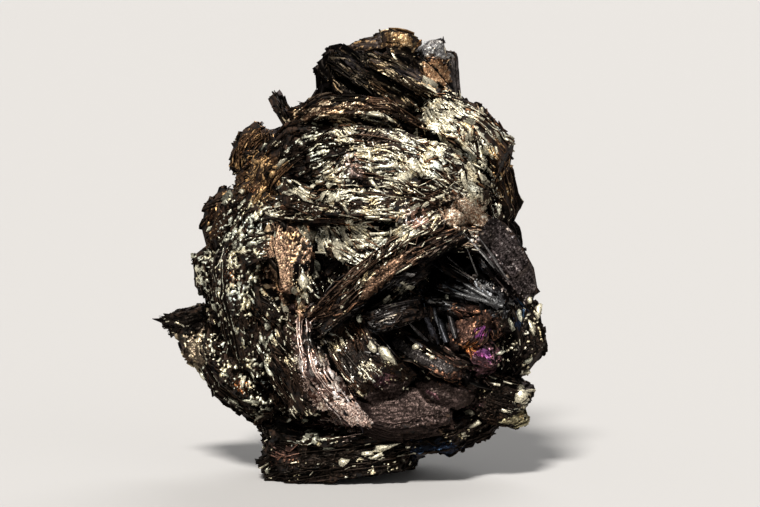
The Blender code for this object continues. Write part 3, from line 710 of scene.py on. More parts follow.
# The outline of a plate: where its four outer corners are along it, and how far they drop towards its ends
CORNERS = np.array([-1.0, -0.36, 0.36, 1.0])
CORNER_SPREAD = (0.75, 1.15)
END_HEIGHT = (0.15, 0.8)
SHOULDER_HEIGHT = (0.8, 1.0)
DROP = 0.1
DROP_OF_LENGTH = 0.11
SCALE_DROP_OF_LENGTH = 0.22
CORNER_JITTER = 0.10
ROOT_LENGTH = 0.7

# How they shine: bright plates are painted as glints, and come in clouds of two sizes, which also pattern the
# skin
PLATE_BRIGHT = 0.45
CLUSTER_SIZE = 2.4
PATCH_SIZE = 7.0
PATCH_START = 50
PATCH_SHARE = 0.7
MOST_BRIGHT = 0.95

# The chances that a plate's rim is dull or painted lit and that its face is painted lit, as glints, and the
# ranges of its tones
TONE_SPREAD = 0.32
WARMTH = 0.22
WARM = np.array([1.0, 0.0, -0.8])
DULL_RIM = 0.35
LIT_RIM = 0.88
LIT_FACE = 0.6
RIM_GLOW = (0.5, 1.1)
FACE_GLOW = (0.5, 1.0)
GLOW_CORNERS = (0.15, 1.0)
GLOW_SOFTNESS = 0.6
DULL_CORNERS = (0.5, 1.3)
# The corners at a plate's root are darkened by this much: painted shade where it meets the surface
ROOT_SHADE = 0.15

# The short plates grow in little bundles
BUNDLE_AREA = 9.0
BUNDLE_STRETCH = 0.45
BUNDLE_SPIN = 0.34
BUNDLE_FAN = 0.10
BUNDLE_LEAN = 0.30
BUNDLE_LIFT = 0.45
BUNDLE_GAP = 0.30
# How much the share of painted glints differs from bundle to bundle, as if each caught the light its own way
BUNDLE_SHINE = 0.75
GAP_PLATES = 0.35
PLATES_AT_ONCE = 2000

# The short plates are parted into pieces at these places along Y and Z
PIECES_BACK = -6
PIECES_HIGH = 52
PIECES_MIDDLE = 26

# The long plates along a book's edge
LEAST_LONG_PLATES = 2
LONG_PITCH = 0.45
FEW_LONG_PITCH = 3.0
LONG_REACH = 2.6
LONG_LAY = 66
LEAST_LONG_STEPS = 4
LONG_STEP = 0.9
LONG_SPAN = (0.25, 0.8)
LONG_ROOM = 0.92
LONG_STEP_JITTER = 0.25
LONG_END = 1.5
LONG_END_DROP = 0.9
LONG_SCALE = (0.94, 1.0)
LONG_OUT = (-0.1, 0.35)
LONG_JITTER = 0.18
LONG_OUT_WAVE = (0.3, (0.3, 0.9))
LONG_SIDE_WAVE = (0.25, (0.15, 0.5))
WAVE_STARTS = (0, 6)
LONG_PAST_BOOK = 0.1
LONG_HALF_THICKNESS = (0.05, 0.11)
LONG_RIMS = (0.5, 1.3)
# How many parts of a long plate's edge are painted lit, and their tones: painted glints
LONG_LIT = (0.2, 1.2)
LONG_SPARKS = (0.5, 1)
LONG_FACES = (0.7, 1.3)

# The photograph's view
WIDTH_PX = 760
MM_PER_PX = 0.18
CAMERA_DISTANCE = 600.0
CAMERA_RISE = math.radians(5.0)
CAMERA_TARGET = np.array((4.77, 0.0, 39.5))
CAMERA_RIGHT = np.array((1.0, 0.0, 0.0))
CAMERA_BACK = np.array((0.0, -math.cos(CAMERA_RISE), math.sin(CAMERA_RISE)))
CAMERA_UP = np.array((0.0, math.sin(CAMERA_RISE), math.cos(CAMERA_RISE)))
CAMERA_PLACE = CAMERA_TARGET + CAMERA_BACK * CAMERA_DISTANCE
SENSOR_WIDTH = 36.0

# The suns: where each shines from, its strength, its angle in degrees and its colour
Sun = namedtuple("Sun", "name place strength angle colour")

SUNS = (
    Sun("key", (-0.25, -0.95, 1.05), 6.2, 12, (1.0, 0.975, 0.94)),
    Sun("fill", (0.8, -0.8, 0.4), 0.45, 50, (1.0, 1.0, 1.0)),
    Sun("back", (0.3, 1.0, 0.8), 1.6, 40, (1.0, 1.0, 1.0)),
)

# How strongly the pale world lights the specimen, and how bright it looks behind the floor's far edge
WORLD_LIGHT = 0.20
BACKDROP = 0.92
WORLD_COLOUR = (0.9, 0.89, 0.88, 1)

# The floor: its radius in metres, its sides and its finish
FLOOR_RADIUS = 60.0
FLOOR_SIDES = 96
FLOOR_COLOUR = (0.40, 0.39, 0.38, 1)
FLOOR_ROUGHNESS = 0.95

# The plates' material: its reflections, and its tarnish and grain, each as the noise's scale and detail, the
# part of the noise that is used, and what that part becomes
PLATE_METALLIC = 0.55
PLATE_ROUGHNESS = (0.3, 0.52)
PLATE_SPECULAR = 0.12
PLATE_SPECULAR_TINT = (0.55, 0.45, 0.36, 1)
TARNISH = (1400.0, 3.0, (0.3, 0.7), (0.55, 1.25))
GRAIN = (4200.0, 1.0, (0.35, 0.65), (0.38, 1.42))

# The material of what shows between the plates, near black: the specimen's own dark colour, and painted shade
# in the gaps. Its reflections, its noise's scale and detail, the colours at two levels of the noise, and the
# strength and the height in metres of its bumps
GROUND_ROUGHNESS = 0.7
GROUND_SPECULAR = 0.15
GROUND_NOISE = (900.0, 4.0)
GROUND_COLOURS = ((0.42, (9, 7, 6)), (0.68, (50, 35, 25)))
GROUND_BUMP = 0.8
GROUND_BUMP_HEIGHT = 0.0004


def linear(rgb):
    """A picture's colour, 0 to 255, as scene-linear values."""
    c = np.asarray(rgb, dtype=float) / 255
    return np.where(c <= 0.04045, c / 12.92, ((c + 0.055) / 1.055) ** 2.4)


def unit(v):
    return v / np.maximum(np.linalg.norm(v, axis=-1, keepdims=True), 1e-9)


def dots(a, b):
    return (a * b).sum(-1)


def on_lines(x, y, degrees):
    """Places in the picture as distances along and across lines at an angle."""
    turn = math.radians(degrees)
    return x * math.cos(turn) + y * math.sin(turn), y * math.cos(turn) - x * math.sin(turn)


def above_floor(points):
    """Lifts points that are below the floor, in place."""
    points[..., 2] = np.maximum(points[..., 2], FLOOR_GAP)


def directions(book):
    """The way a book faces, its long side, the direction that it runs out in, and its plates' normal."""
    azimuth, rise, flow, lay = (math.radians(a) for a in (book.azimuth, book.rise, book.flow, book.lay))
    level = math.cos(rise)
    facing = Vector((math.sin(azimuth) * level, -math.cos(azimuth) * level, math.sin(rise)))
    right = Vector((math.cos(azimuth), math.sin(azimuth), 0))
    up = right.cross(-facing)
    along = right * math.cos(flow) + up * math.sin(flow)
    edge_normal = facing.cross(along)
    outward = facing * math.cos(lay) - edge_normal * math.sin(lay)
    normal = edge_normal * math.cos(lay) + facing * math.sin(lay)
    return facing, along, outward, normal


def middle(book):
    """The middle of a book, half its reach behind the side that shows."""
    facing = directions(book)[0]
    lay = math.radians(abs(book.lay))
    reach = book.size[1] * math.cos(lay) + book.size[2] * math.sin(lay)
    return Vector(book.at) - facing * reach / 2


def reach_at(book, angle):
    """How far a book's plates reach at an angle in their own plane."""
    length, depth, _ = book.size
    chance = random.Random(book.name)
    phases = {wave: chance.uniform(0, 2 * math.pi) for wave in WOBBLE}
    along = np.abs(np.cos(angle)) * 2 / length
    across = np.abs(np.sin(angle)) * 2 / depth
    reach = (along**SQUARENESS + across**SQUARENESS) ** (-1 / SQUARENESS)
    return reach * (1 + sum(size * np.sin(wave * angle + phases[wave]) for wave, size in WOBBLE.items()))


class Frame:
    """A book's place in the specimen, for many points at once."""

    def __init__(self, book):
        _, along, outward, normal = directions(book)
        self.book = book
        self.middle = np.array(middle(book))
        self.along, self.outward, self.normal = (np.array(v) for v in (along, outward, normal))

    def flat(self, points):
        """Points as u, v and w of the book before it was bent, and the turn of the bend there."""
        d = points - self.middle
        a, v, c = d @ self.along, d @ self.outward, d @ self.normal
        if not self.book.curve:
            return a, v, c, np.zeros(len(a))
        radius = 1 / self.book.curve
        side = math.copysign(1, radius)
        turn = np.arctan2(side * a, side * (c + radius))
        return turn * radius, v, side * np.hypot(a, c + radius) - radius, turn

    def solid(self, u, v, w):
        """The points of the specimen at u, v and w."""
        if self.book.curve:
            radius = 1 / self.book.curve
            turn = u * self.book.curve
            u, w = (radius + w) * np.sin(turn), (radius + w) * np.cos(turn) - radius
        parts = ((u, self.along), (v, self.outward), (w, self.normal))
        return self.middle + sum(np.multiply.outer(part, axis) for part, axis in parts)

    def plate_normal(self, turn):
        return np.multiply.outer(np.sin(turn), self.along) + np.multiply.outer(np.cos(turn), self.normal)

    def plate_length(self, turn):
        return np.multiply.outer(np.cos(turn), self.along) - np.multiply.outer(np.sin(turn), self.normal)


class Solid:
    """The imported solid's surface, in millimetres."""

    def __init__(self, node):
        mesh = node.data
        mesh.calc_loop_triangles()
        co = np.empty(len(mesh.vertices) * 3)
        mesh.vertices.foreach_get("co", co)
        triangles = np.empty(len(mesh.loop_triangles) * 3, dtype=np.int32)
        mesh.loop_triangles.foreach_get("vertices", triangles)
        world = np.array(node.matrix_world)
        co = (co.reshape(-1, 3) @ world[:3, :3].T + world[:3, 3]) / MM
        triangles = triangles.reshape(-1, 3)
        self.corners = co[triangles]
        self.tree = BVHTree.FromPolygons(co.tolist(), triangles.tolist())
        sides = self.corners[:, 1:] - self.corners[:, :1]
        self.cross = np.cross(sides[:, 0], sides[:, 1])
        self.areas = np.linalg.norm(self.cross, axis=1) / 2

    def samples(self, density, rng):
        """Points spread evenly over the surface, and the way that it faces there."""
        area = self.areas.sum()
        count = int(area * density)
        pick = rng.choice(len(self.areas), count, p=self.areas / area)
        s, t = rng.random((2, count, 1))
        flip = s + t > 1
        s, t = np.where(flip, 1 - s, s), np.where(flip, 1 - t, t)
        c = self.corners[pick]
        return c[:, 0] + (c[:, 1] - c[:, 0]) * s + (c[:, 2] - c[:, 0]) * t, unit(self.cross[pick])

    def held_down(self, points, most):
        """Draws in the points that stand further than most out of the solid, and keeps them above the floor.

        most below 0 is a depth inside it.
        """
        held = points.reshape(-1, 3).copy()
        for i, point in enumerate(held):
            place = Vector(point)
            near, normal, _, far = self.tree.find_nearest(place)
            if far > max(most, 0.001) and (place - near).dot(normal) > 0:
                held[i] = near + (place - near) * (most / far)
        above_floor(held)
        return held.reshape(points.shape)

    def seen(self, at):
        """The point of the surface at a place in the picture, or None where there is none, and its normal."""
        sight = at[0] * CAMERA_RIGHT + at[1] * CAMERA_UP - CAMERA_DISTANCE * CAMERA_BACK
        place, normal, _, _ = self.tree.ray_cast(Vector(CAMERA_PLACE), Vector(unit(sight)))
        return (None, None) if place is None else (np.array(place), np.array(normal))


def nearest_books(frames, points):
    """The number of the book whose surface each point is on, or -1, and its plates' normal and length."""
    best = np.full(len(points), NEAR_BOOK)
    which = np.full(len(points), -1)
    normals = np.zeros((len(points), 3))
    lengths = np.zeros((len(points), 3))
    for i, frame in enumerate(frames):
        u, v, w, turn = frame.flat(points)
        rim = np.hypot(u, v) / reach_at(frame.book, np.arctan2(v, u))
        level = np.maximum(rim, np.abs(w) * 2 / frame.book.size[2])
        nearer = level < best
        best[nearer] = level[nearer]
        which[nearer] = i
        normals[nearer] = frame.plate_normal(turn[nearer])
        lengths[nearer] = frame.plate_length(turn[nearer])
    return which, normals, lengths


def plates_under(frames, points, facing):
    """The same as nearest_books, but with random directions where no book is near."""
    which, normals, lengths = nearest_books(frames, points)
    lost = which < 0
    normals[lost] = unit(field(points[lost], STRAY_SIZE, STRAY_START) + STRAY_BIAS)
    lengths[lost] = np.cross(normals[lost], facing[lost])
    return which, unit(normals), lengths


def field(points, size, start):
    """A smooth random vector at each point, each part from about -1 to 1."""
    return np.array([noise.noise_vector(Vector(p) / size + Vector((start, 0, 0))) for p in points])


def cloud(points, size):
    """A smooth random number at each point, from about -1 to 1."""
    return np.array([noise.noise(Vector(p) / size) for p in points])


def turned(v, axis, angle):
    """Vectors turned about unit axes."""
    c, s = np.cos(angle)[:, None], np.sin(angle)[:, None]
    return v * c + np.cross(axis, v) * s + axis * dots(axis, v)[:, None] * (1 - c)


def look_column(looks, field_name):
    """One value of the finish of each plate. looks holds the finishes' numbers."""
    return np.array([getattr(LOOKS[name], field_name) for name in LOOK_NAMES])[looks]


def look_colours(looks):
    """The colours of the rim, the face and the painted glints of each plate's finish."""
    for part in ("rim", "face", "spark"):
        yield linear([getattr(LOOKS[name], part) for name in LOOK_NAMES])[looks]


def in_picture(points):
    """Where points are in the photograph's view, in millimetres to the right of and above its middle."""
    d = points - CAMERA_PLACE
    far = -(d @ CAMERA_BACK)
    return CAMERA_DISTANCE * d[:, 0] / far, CAMERA_DISTANCE * (d @ CAMERA_UP) / far


def in_front(points, facing):
    """Which points belong to the front, which the photograph shows."""
    return (facing @ CAMERA_BACK > FRONT_FACING) & (points[:, 1] < FRONT_DEPTH)


def finishes_and_glints(points, facing, which):
    """The finish of each point, with its painted glints: that of the area it is in, or else that of its book.
    """
    of_books = np.array([LOOK_NAMES.index(book.look) for book in BOOKS] + [LOOK_NAMES.index("core")])
    looks = of_books[which]
    across, up = in_picture(points)
    ragged = AREA_RAGGED * cloud(points, AREA_RAGGED_SIZE)
    shows = in_front(points, facing)
    for area in AREAS:
        a, b = on_lines(across - area.at[0], up - area.at[1], area.turn)
        within = np.hypot(a / area.half[0], b / area.half[1]) + ragged < 1
        looks[shows & within] = LOOK_NAMES.index(area.look)
    return looks


def inside_depth(outline, across, up):
    """How deep places in the picture are inside an outline, in millimetres. It is below 0 outside."""
    inside = np.zeros(np.shape(across), dtype=bool)
    near = np.full(np.shape(across), np.inf)
    for (x0, y0), (x1, y1) in zip(outline, outline[1:] + outline[:1]):
        crosses = (y0 > up) != (y1 > up)
        inside ^= crosses & (across < (x1 - x0) * (up - y0) / (y1 - y0 + 1e-12) + x0)
        along = (across - x0) * (x1 - x0) + (up - y0) * (y1 - y0)
        t = np.clip(along / ((x1 - x0) ** 2 + (y1 - y0) ** 2), 0, 1)
        near = np.minimum(near, np.hypot(across - x0 - t * (x1 - x0), up - y0 - t * (y1 - y0)))
    return np.where(inside, near, -near)


def under_crust(points, facing):
    """Which points a crust covers."""
    across, up = in_picture(points)
    covered = np.zeros(len(points), dtype=bool)
    for crust in CRUSTS:
        covered |= inside_depth(crust.outline, across, up) > CRUST_COVER
    return covered & in_front(points, facing)


class Builder:
    """Gathers polygons with a colour each, and makes one mesh of them."""

    def __init__(self):
        self.points = []
        self.faces = []
        self.sizes = []
        self.colours = []
        self.count = 0

    def add_points(self, points):
        """points is (shapes, points in each, 3). Gives the number of each shape's first point."""
        base = self.count + np.arange(len(points)) * points.shape[1]
        self.points.append(points.reshape(-1, 3))
        self.count += points.shape[0] * points.shape[1]
        return base

    def add_faces(self, base, corners, colours):
        """One face on every shape: its corners' numbers, and a colour for each shape or for each corner."""
        self.faces.append((base[:, None] + np.asarray(corners)[None]).ravel())
        self.sizes.append(np.full(len(base), len(corners)))
        if colours.ndim == 2:
            colours = np.repeat(colours[:, None], len(corners), axis=1)
        self.colours.append(colours.reshape(-1, 3))

    def wedges(self, top, bottom, inner, rims, faces):
        """Thin plates that taper inwards: outer corners above and below, and two shared inner corners."""
        n = top.shape[1]
        base = self.add_points(np.concatenate([top, bottom, inner], axis=1))
        self.add_faces(base, [*range(n), 2 * n, 2 * n + 1], faces)
        self.add_faces(base, [*range(2 * n - 1, n - 1, -1), 2 * n + 1, 2 * n], faces)
        for k in range(n - 1):
            self.add_faces(base, [k + 1, k, k + n, k + n + 1], rims[:, k])
        self.add_faces(base, [0, 2 * n + 1, n], faces[:, 0])
        self.add_faces(base, [n - 1, 2 * n - 1, 2 * n], faces[:, 0])

    def strip(self, top, bottom, inner, rims, faces):
        """A long plate that tapers inwards: rows of points along its edge and along its root."""
        n = len(top)
        base = self.add_points(np.concatenate([top, bottom, inner])[None]) + np.arange(n - 1)
        self.add_faces(base, [0, 2 * n, 2 * n + 1, 1], faces)
        self.add_faces(base, [n, n + 1, 2 * n + 1, 2 * n], faces)
        self.add_faces(base, [0, 1, n + 1, n], rims)

    def slab(self, top, bottom, colours):
        """A flat chip: its outline above and below, and a colour for each corner."""
        n = len(top)
        base = self.add_points(np.concatenate([top, bottom])[None])
        self.add_faces(base, range(n), colours[None])
        self.add_faces(base, range(2 * n - 1, n - 1, -1), colours[None, ::-1])
        for k in range(n):
            # The sides are darker than the top: painted shade
            side = colours[None, k] * CHIP_SIDE_SHADE
            self.add_faces(base, [(k + 1) % n, k, k + n, (k + 1) % n + n], side)

    def sheet(self, points, quads, colours):
        """A grid of points, of which some cells are filled, with a colour for each point."""
        row, column = np.nonzero(quads)
        first = row * points.shape[1] + column
        above = first + points.shape[1]
        corners = np.stack([first, first + 1, above + 1, above], axis=1)
        used, place = np.unique(corners, return_inverse=True)
        base = self.add_points(points.reshape(-1, 3)[used][None])
        self.faces.append(base + place.ravel())
        self.sizes.append(np.full(len(first), 4))
        self.colours.append(colours.reshape(-1, 3)[corners].reshape(-1, 3))

    def piece(self, name, material):
        """Makes the mesh and lets it ride on the specimen."""
        points = np.nan_to_num(np.concatenate(self.points)) * MM
        loops = np.concatenate(self.faces).astype(np.int32)
        sizes = np.concatenate(self.sizes).astype(np.int32)
        starts = np.concatenate([[0], np.cumsum(sizes)[:-1]]).astype(np.int32)
        colours = np.concatenate(self.colours)
        colours = np.hstack([colours, np.ones((len(colours), 1))]).astype(np.float32)
        mesh = bpy.data.meshes.new(name)
        mesh.vertices.add(len(points))
        mesh.vertices.foreach_set("co", points.ravel())
        mesh.loops.add(len(loops))
        mesh.loops.foreach_set("vertex_index", loops)
        mesh.polygons.add(len(sizes))
        mesh.polygons.foreach_set("loop_start", starts)
        mesh.update(calc_edges=True)
        tint = mesh.color_attributes.new("tint", "FLOAT_COLOR", "CORNER")
        tint.data.foreach_set("color", colours.ravel())
        mesh.materials.append(material)
        made = bpy.data.objects.new(name, mesh)
        bpy.context.scene.collection.objects.link(made)
        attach(made, "root")


class Plates:
    """The short plates, as columns with one row each. They are kept or dropped together."""

    def __init__(self, **columns):
        self.__dict__.update(columns)

    def keep(self, rows):
        for name, column in vars(self).items():
            setattr(self, name, column[rows])


def surface_trace(normals, facing, lengths):
    """Where the plates cut the surface, as directions, and which plates lie nearly flat on it instead."""
    flat_on = np.abs(dots(normals, facing)) > FACE_ON
    trace = np.cross(normals, facing)
    trace[dots(trace, lengths) < 0] *= -1
    flat = lengths - facing * dots(lengths, facing)[:, None]
    trace[flat_on] = flat[flat_on]
    return unit(trace), flat_on


def scatter(frames, solid, rng):
    """Points all over the specimen where a plate grows, with the direction of the book under them."""
    points, facing = solid.samples(DENSITY, rng)
    under = (facing[:, 2] < UNDERSIDE_FACING) & (points[:, 2] < UNDERSIDE_HEIGHT)
    points, facing = points[~under], facing[~under]
    which, normals, lengths = plates_under(frames, points, facing)
    spread = points + LOOK_SPREAD * rng.standard_normal(points.shape)
    looks = finishes_and_glints(spread, facing, np.where(which < 0, -1, nearest_books(frames, spread)[0]))
    plates = Plates(points=points, facing=facing, normals=normals, lengths=lengths, looks=looks)
    plates.keep(~under_crust(points, facing) | (rng.random(len(points)) < CRUST_PLATES))
    plates.trace, flat_on = surface_trace(plates.normals, plates.facing, plates.lengths)
    plates.tilt = look_column(plates.looks, "tilt")
    plates.tilt[flat_on & (plates.tilt == 0)] = FLAT_TILT
    return plates


def nearest_seeds(plates, seeds):
    """For each plate: its bundle's number, how far along the bundle it is, and how far from the border."""
    number = np.empty(len(plates.points), dtype=int)
    along = np.empty(len(plates.points))
    border = np.empty(len(plates.points))
    for start in range(0, len(plates.points), PLATES_AT_ONCE):
        part = slice(start, start + PLATES_AT_ONCE)
        d = plates.points[part, None] - plates.points[seeds][None]
        a = dots(d, plates.trace[seeds][None])
        far = np.sqrt(np.maximum(dots(d, d) - (1 - BUNDLE_STRETCH**2) * a**2, 0))
        first = far.argmin(1)
        rows = np.arange(len(first))
        nearest = far[rows, first].copy()
        along[part] = a[rows, first]
        far[rows, first] = np.inf
        border[part] = far.min(1) - nearest
        number[part] = first
    return number, along, border


def bundle(plates, area, rng):
    """Parts the plates into small bundles, longer along the plates than across them.

    The plates of a bundle share a turn, a lean, a lift and a shine, which sets how many of them are painted
    as glints, and few grow on its border.
    """
    count = int(area / BUNDLE_AREA)
    seeds = rng.choice(len(plates.points), count, replace=False)
    number, along, border = nearest_seeds(plates, seeds)
    fan = BUNDLE_FAN * rng.standard_normal(count)[number] * along
    angle = np.arctan2(plates.trace @ CAMERA_UP, plates.trace @ CAMERA_RIGHT)
    turn = (swirled(plates.points, angle) - angle + np.pi / 2) % np.pi - np.pi / 2
    within = border > BUNDLE_GAP
    plates.spin = BUNDLE_SPIN * rng.standard_normal(count)[number] + fan + turn
    plates.lean = BUNDLE_LEAN * rng.standard_normal(count)[number]
    plates.rise = BUNDLE_LIFT * rng.uniform(-1, 1, count)[number] * within
    plates.shine = np.exp(BUNDLE_SHINE * rng.standard_normal(count))[number]
    plates.warmth = rng.uniform(-1, 1, count)[number]
    plates.keep(within | (rng.random(len(border)) < GAP_PLATES))


def sparkle(plates, rng):
    """Chooses the bright plates, which are painted as glints: more of them in some bundles, and in clouds of
    two sizes.
    """
    patches = cloud(plates.points + PATCH_START, PATCH_SIZE)
    clouds = 1 + cloud(plates.points, CLUSTER_SIZE) + PATCH_SHARE * patches
    share = look_column(plates.looks, "share")
    chance = PLATE_BRIGHT * share * plates.shine * np.maximum(clouds, 0)
    plates.bright = rng.random(len(share)) < np.clip(chance, 0, MOST_BRIGHT)


def lean(plates, rng):
    """Lays some bright plates down, turns each plate a little, and finds the way that it stands out."""
    count = len(plates.points)
    facing = plates.facing
    laid = plates.bright & (plates.tilt == 0) & (rng.random(count) < BRIGHT_SCALES)
    plates.tilt[laid] = BRIGHT_TILT
    plates.flat_on = flat_on = plates.tilt > 0
    slant = plates.tilt * rng.uniform(*TILT_RANGE, count) * np.sign(plates.lean + UPWARD)
    normals = plates.normals.copy()
    normals[flat_on] = turned(facing, plates.trace, slant)[flat_on]
    normals = turned(normals, facing, plates.spin + LEAN * rng.standard_normal(count))
    normals += facing * (plates.lean * ~flat_on)[:, None]
    swirl = SWIRL * field(plates.points, SWIRL_SIZE, SWIRL_START)
    normals += swirl * np.where(flat_on, SCALE_SWIRL, 1.0)[:, None]
    jitter = LEAN * rng.standard_normal((count, 3))
    normals = unit(normals + jitter * np.where(flat_on, SCALE_LEAN, 1.0)[:, None])
    trace = unit(np.cross(normals, facing))
    out = np.cross(trace, normals)
    sign = np.where(dots(out, facing) < 0, -1.0, 1.0)[:, None]
    plates.normals, plates.trace, plates.out = normals, trace * sign, out * sign


def measures(plates, rng):
    """How long and thick each plate is, how far it stands out, and how steeply it leaves the surface."""
    count = len(plates.points)
    usual_long, usual_thick, usual_out = look_column(plates.looks, "size").T
    flake = np.where(plates.bright, look_column(plates.looks, "flake"), 1.0)
    long = usual_long * np.exp(LENGTH_SPREAD * rng.standard_normal(count)) * flake**FLAKE_LENGTH
    thick = usual_thick * np.exp(THICKNESS_SPREAD * rng.standard_normal(count))
    thick = thick * np.where(plates.flat_on, 1.0, flake)
    least = np.where(plates.flat_on, LEAST_SCALE_CLIMB, LEAST_CLIMB)
    climb = np.maximum(dots(plates.out, plates.facing), least)
    stands = usual_out * rng.uniform(*OUT_RANGE, count) * flake**FLAKE_OUT
    stands = stands + plates.rise * np.where(plates.flat_on, SCALE_RISE, 1.0)
    return long, thick, np.maximum(stands, LEAST_OUT) / climb, climb


def outer_corners(plates, long, stands, rng):
    """Where the four outer corners of each plate are, along it and outwards."""
    count = len(plates.points)
    ends = rng.uniform(*END_HEIGHT, (count, 2))
    shoulder = rng.uniform(*SHOULDER_HEIGHT, count)
    height = np.stack([ends[:, 0], np.ones(count), shoulder, ends[:, 1]], axis=1)
    along = CORNERS[None] * long[:, None] / 2 * rng.uniform(*CORNER_SPREAD, (count, 4))
    of_length = np.where(plates.flat_on, SCALE_DROP_OF_LENGTH, DROP_OF_LENGTH)
    drop = (DROP + of_length * long)[:, None] * (1 - height)
    return along, stands[:, None] - drop + CORNER_JITTER * rng.standard_normal((count, 4))


def shape(plates, solid, rng):
    """The outer corners of the plates above and below, and their inner corners."""
    long, thick, stands, climb = measures(plates, rng)
    x, y = outer_corners(plates, long, stands, rng)
    points, trace, out = plates.points[:, None], plates.trace[:, None], plates.out[:, None]
    outer = solid.held_down(points + x[:, :, None] * trace + y[:, :, None] * out, MOST_OUT)
    root = np.stack([x[:, 3] * ROOT_LENGTH, x[:, 0] * ROOT_LENGTH], axis=1)
    sink = np.where(plates.flat_on, SCALE_SINK, SINK) / climb
    inner = solid.held_down(points + root[:, :, None] * trace - sink[:, None, None] * out, ROOT_OUT)
    half = (plates.normals * thick[:, None] / 2)[:, None]
    top, bottom = outer + half, outer - half
    above_floor(top)
    above_floor(bottom)
    return top, bottom, inner


def colours(plates, rng):
    """The colour of the three parts of each plate's rim, and of the corners of its face. Bright plates get
    painted glints on their rims and faces, and the corners at a face's root get painted shade.
    """
    count = len(plates.points)
    rim, face, spark = look_colours(plates.looks)
    tone = np.exp(TONE_SPREAD * rng.standard_normal(count))[:, None]
    tone = tone * (1 + WARMTH * plates.warmth[:, None] * WARM)
    rims = np.repeat((rim * tone)[:, None], 3, axis=1)
    dull = rng.random((count, 3)) < DULL_RIM
    rims = np.where(dull[:, :, None], face[:, None], rims)
    # Bright plates get painted glints on their rims and faces
    lit = plates.bright[:, None] & (rng.random((count, 3)) < LIT_RIM)
    rims = np.where(lit[:, :, None], spark[:, None] * rng.uniform(*RIM_GLOW, (count, 3, 1)), rims)
    glow = plates.bright & (plates.flat_on | (rng.random(count) < LIT_FACE))
    faces = np.where(glow[:, None], spark * rng.uniform(*FACE_GLOW, (count, 1)), face * tone)
    bright_corners = rng.uniform(*GLOW_CORNERS, (count, 6)) ** GLOW_SOFTNESS
    corners = np.where(glow[:, None], bright_corners, rng.uniform(*DULL_CORNERS, (count, 6)))
    # Painted shade at the root corners, where the plate meets the surface
    corners[:, 4:] *= ROOT_SHADE
    return rims, faces[:, None] * corners[:, :, None]


def outline_edge(book):
    """The visible edge of a book's plates as v against u, from the solid's own corners."""
    points = LONG_OUTLINE_POINTS if book.size[0] > LONG_BOOK else OUTLINE_POINTS
    angle = 2 * np.pi * (np.arange(points) + 0.5) / points
    reach = reach_at(book, angle)
    u, v = reach * np.cos(angle), reach * np.sin(angle)
    front = v > 0
    order = np.argsort(u[front])
    return u[front][order], v[front][order]


def waves(u, height, lengths, rng):
    """A random slow wave along u. lengths are the least and the most turns of it, in radians a millimetre."""
    return height * np.sin(u * rng.uniform(*lengths) + rng.uniform(*WAVE_STARTS))


def long_line(book, rng):
    """One long plate's line along the edge of a book, as u, v and w."""
    length, _, thickness = book.size
    span = length * rng.uniform(*LONG_SPAN)
    centre = rng.uniform(-0.5, 0.5) * (LONG_ROOM * length - span)
    steps = max(LEAST_LONG_STEPS, round(span / LONG_STEP))
    u = np.linspace(centre - span / 2, centre + span / 2, steps)
    u[1:-1] += LONG_STEP_JITTER * LONG_STEP * rng.uniform(-1, 1, steps - 2)
    ends = np.clip(np.minimum(u - u[0], u[-1] - u) / LONG_END, 0, 1)
    v = np.interp(u, *outline_edge(book)) * rng.uniform(*LONG_SCALE)
    v = v + rng.uniform(*LONG_OUT) - LONG_END_DROP * (1 - ends)
    v += LONG_JITTER * rng.standard_normal(steps) + waves(u, *LONG_OUT_WAVE, rng)
    w = rng.uniform(-0.5, 0.5) * thickness + waves(u, *LONG_SIDE_WAVE, rng)
    most = thickness / 2 + LONG_PAST_BOOK
    return u, v, np.clip(w, -most, most)


def long_plates(number, frame, solid, builder):
    """Long plates along the edge of a book, which carry its lines from end to end."""
    book = frame.book
    rng = np.random.default_rng([SEED, number])
    pitch = LONG_PITCH * (FEW_LONG_PITCH if book.look in FEW_LONG else 1.0)
    for _ in range(max(LEAST_LONG_PLATES, round(book.size[2] / pitch))):
        u, v, w = long_line(book, rng)
        facing = np.repeat(frame.outward[None], len(u), axis=0)
        outer = solid.held_down(frame.solid(u, v, w), MOST_OUT)
        covered = under_crust(outer, facing)
        outer[covered] = solid.held_down(outer[covered], ROOT_OUT)
        inner = solid.held_down(frame.solid(u, v - LONG_REACH, w), ROOT_OUT)
        half = frame.plate_normal(u * book.curve) * rng.uniform(*LONG_HALF_THICKNESS)
        top, bottom = outer + half, outer - half
        for part in (top, bottom, inner):
            above_floor(part)
        parts = len(u) - 1
        looks = finishes_and_glints(outer[:-1], facing[:-1], np.full(parts, number))
        rim, face, spark = look_colours(looks)
        rims = rim * rng.uniform(*LONG_RIMS)
        # Some parts of the edge are painted lit: painted glints
        lit = rng.random(parts) < look_column(looks, "share") * rng.uniform(*LONG_LIT)
        sparks = spark * rng.uniform(*LONG_SPARKS, (parts, 1))
        faces = face * rng.uniform(*LONG_FACES)
        builder.strip(top, bottom, inner, np.where(lit[:, None], sparks, rims), faces)


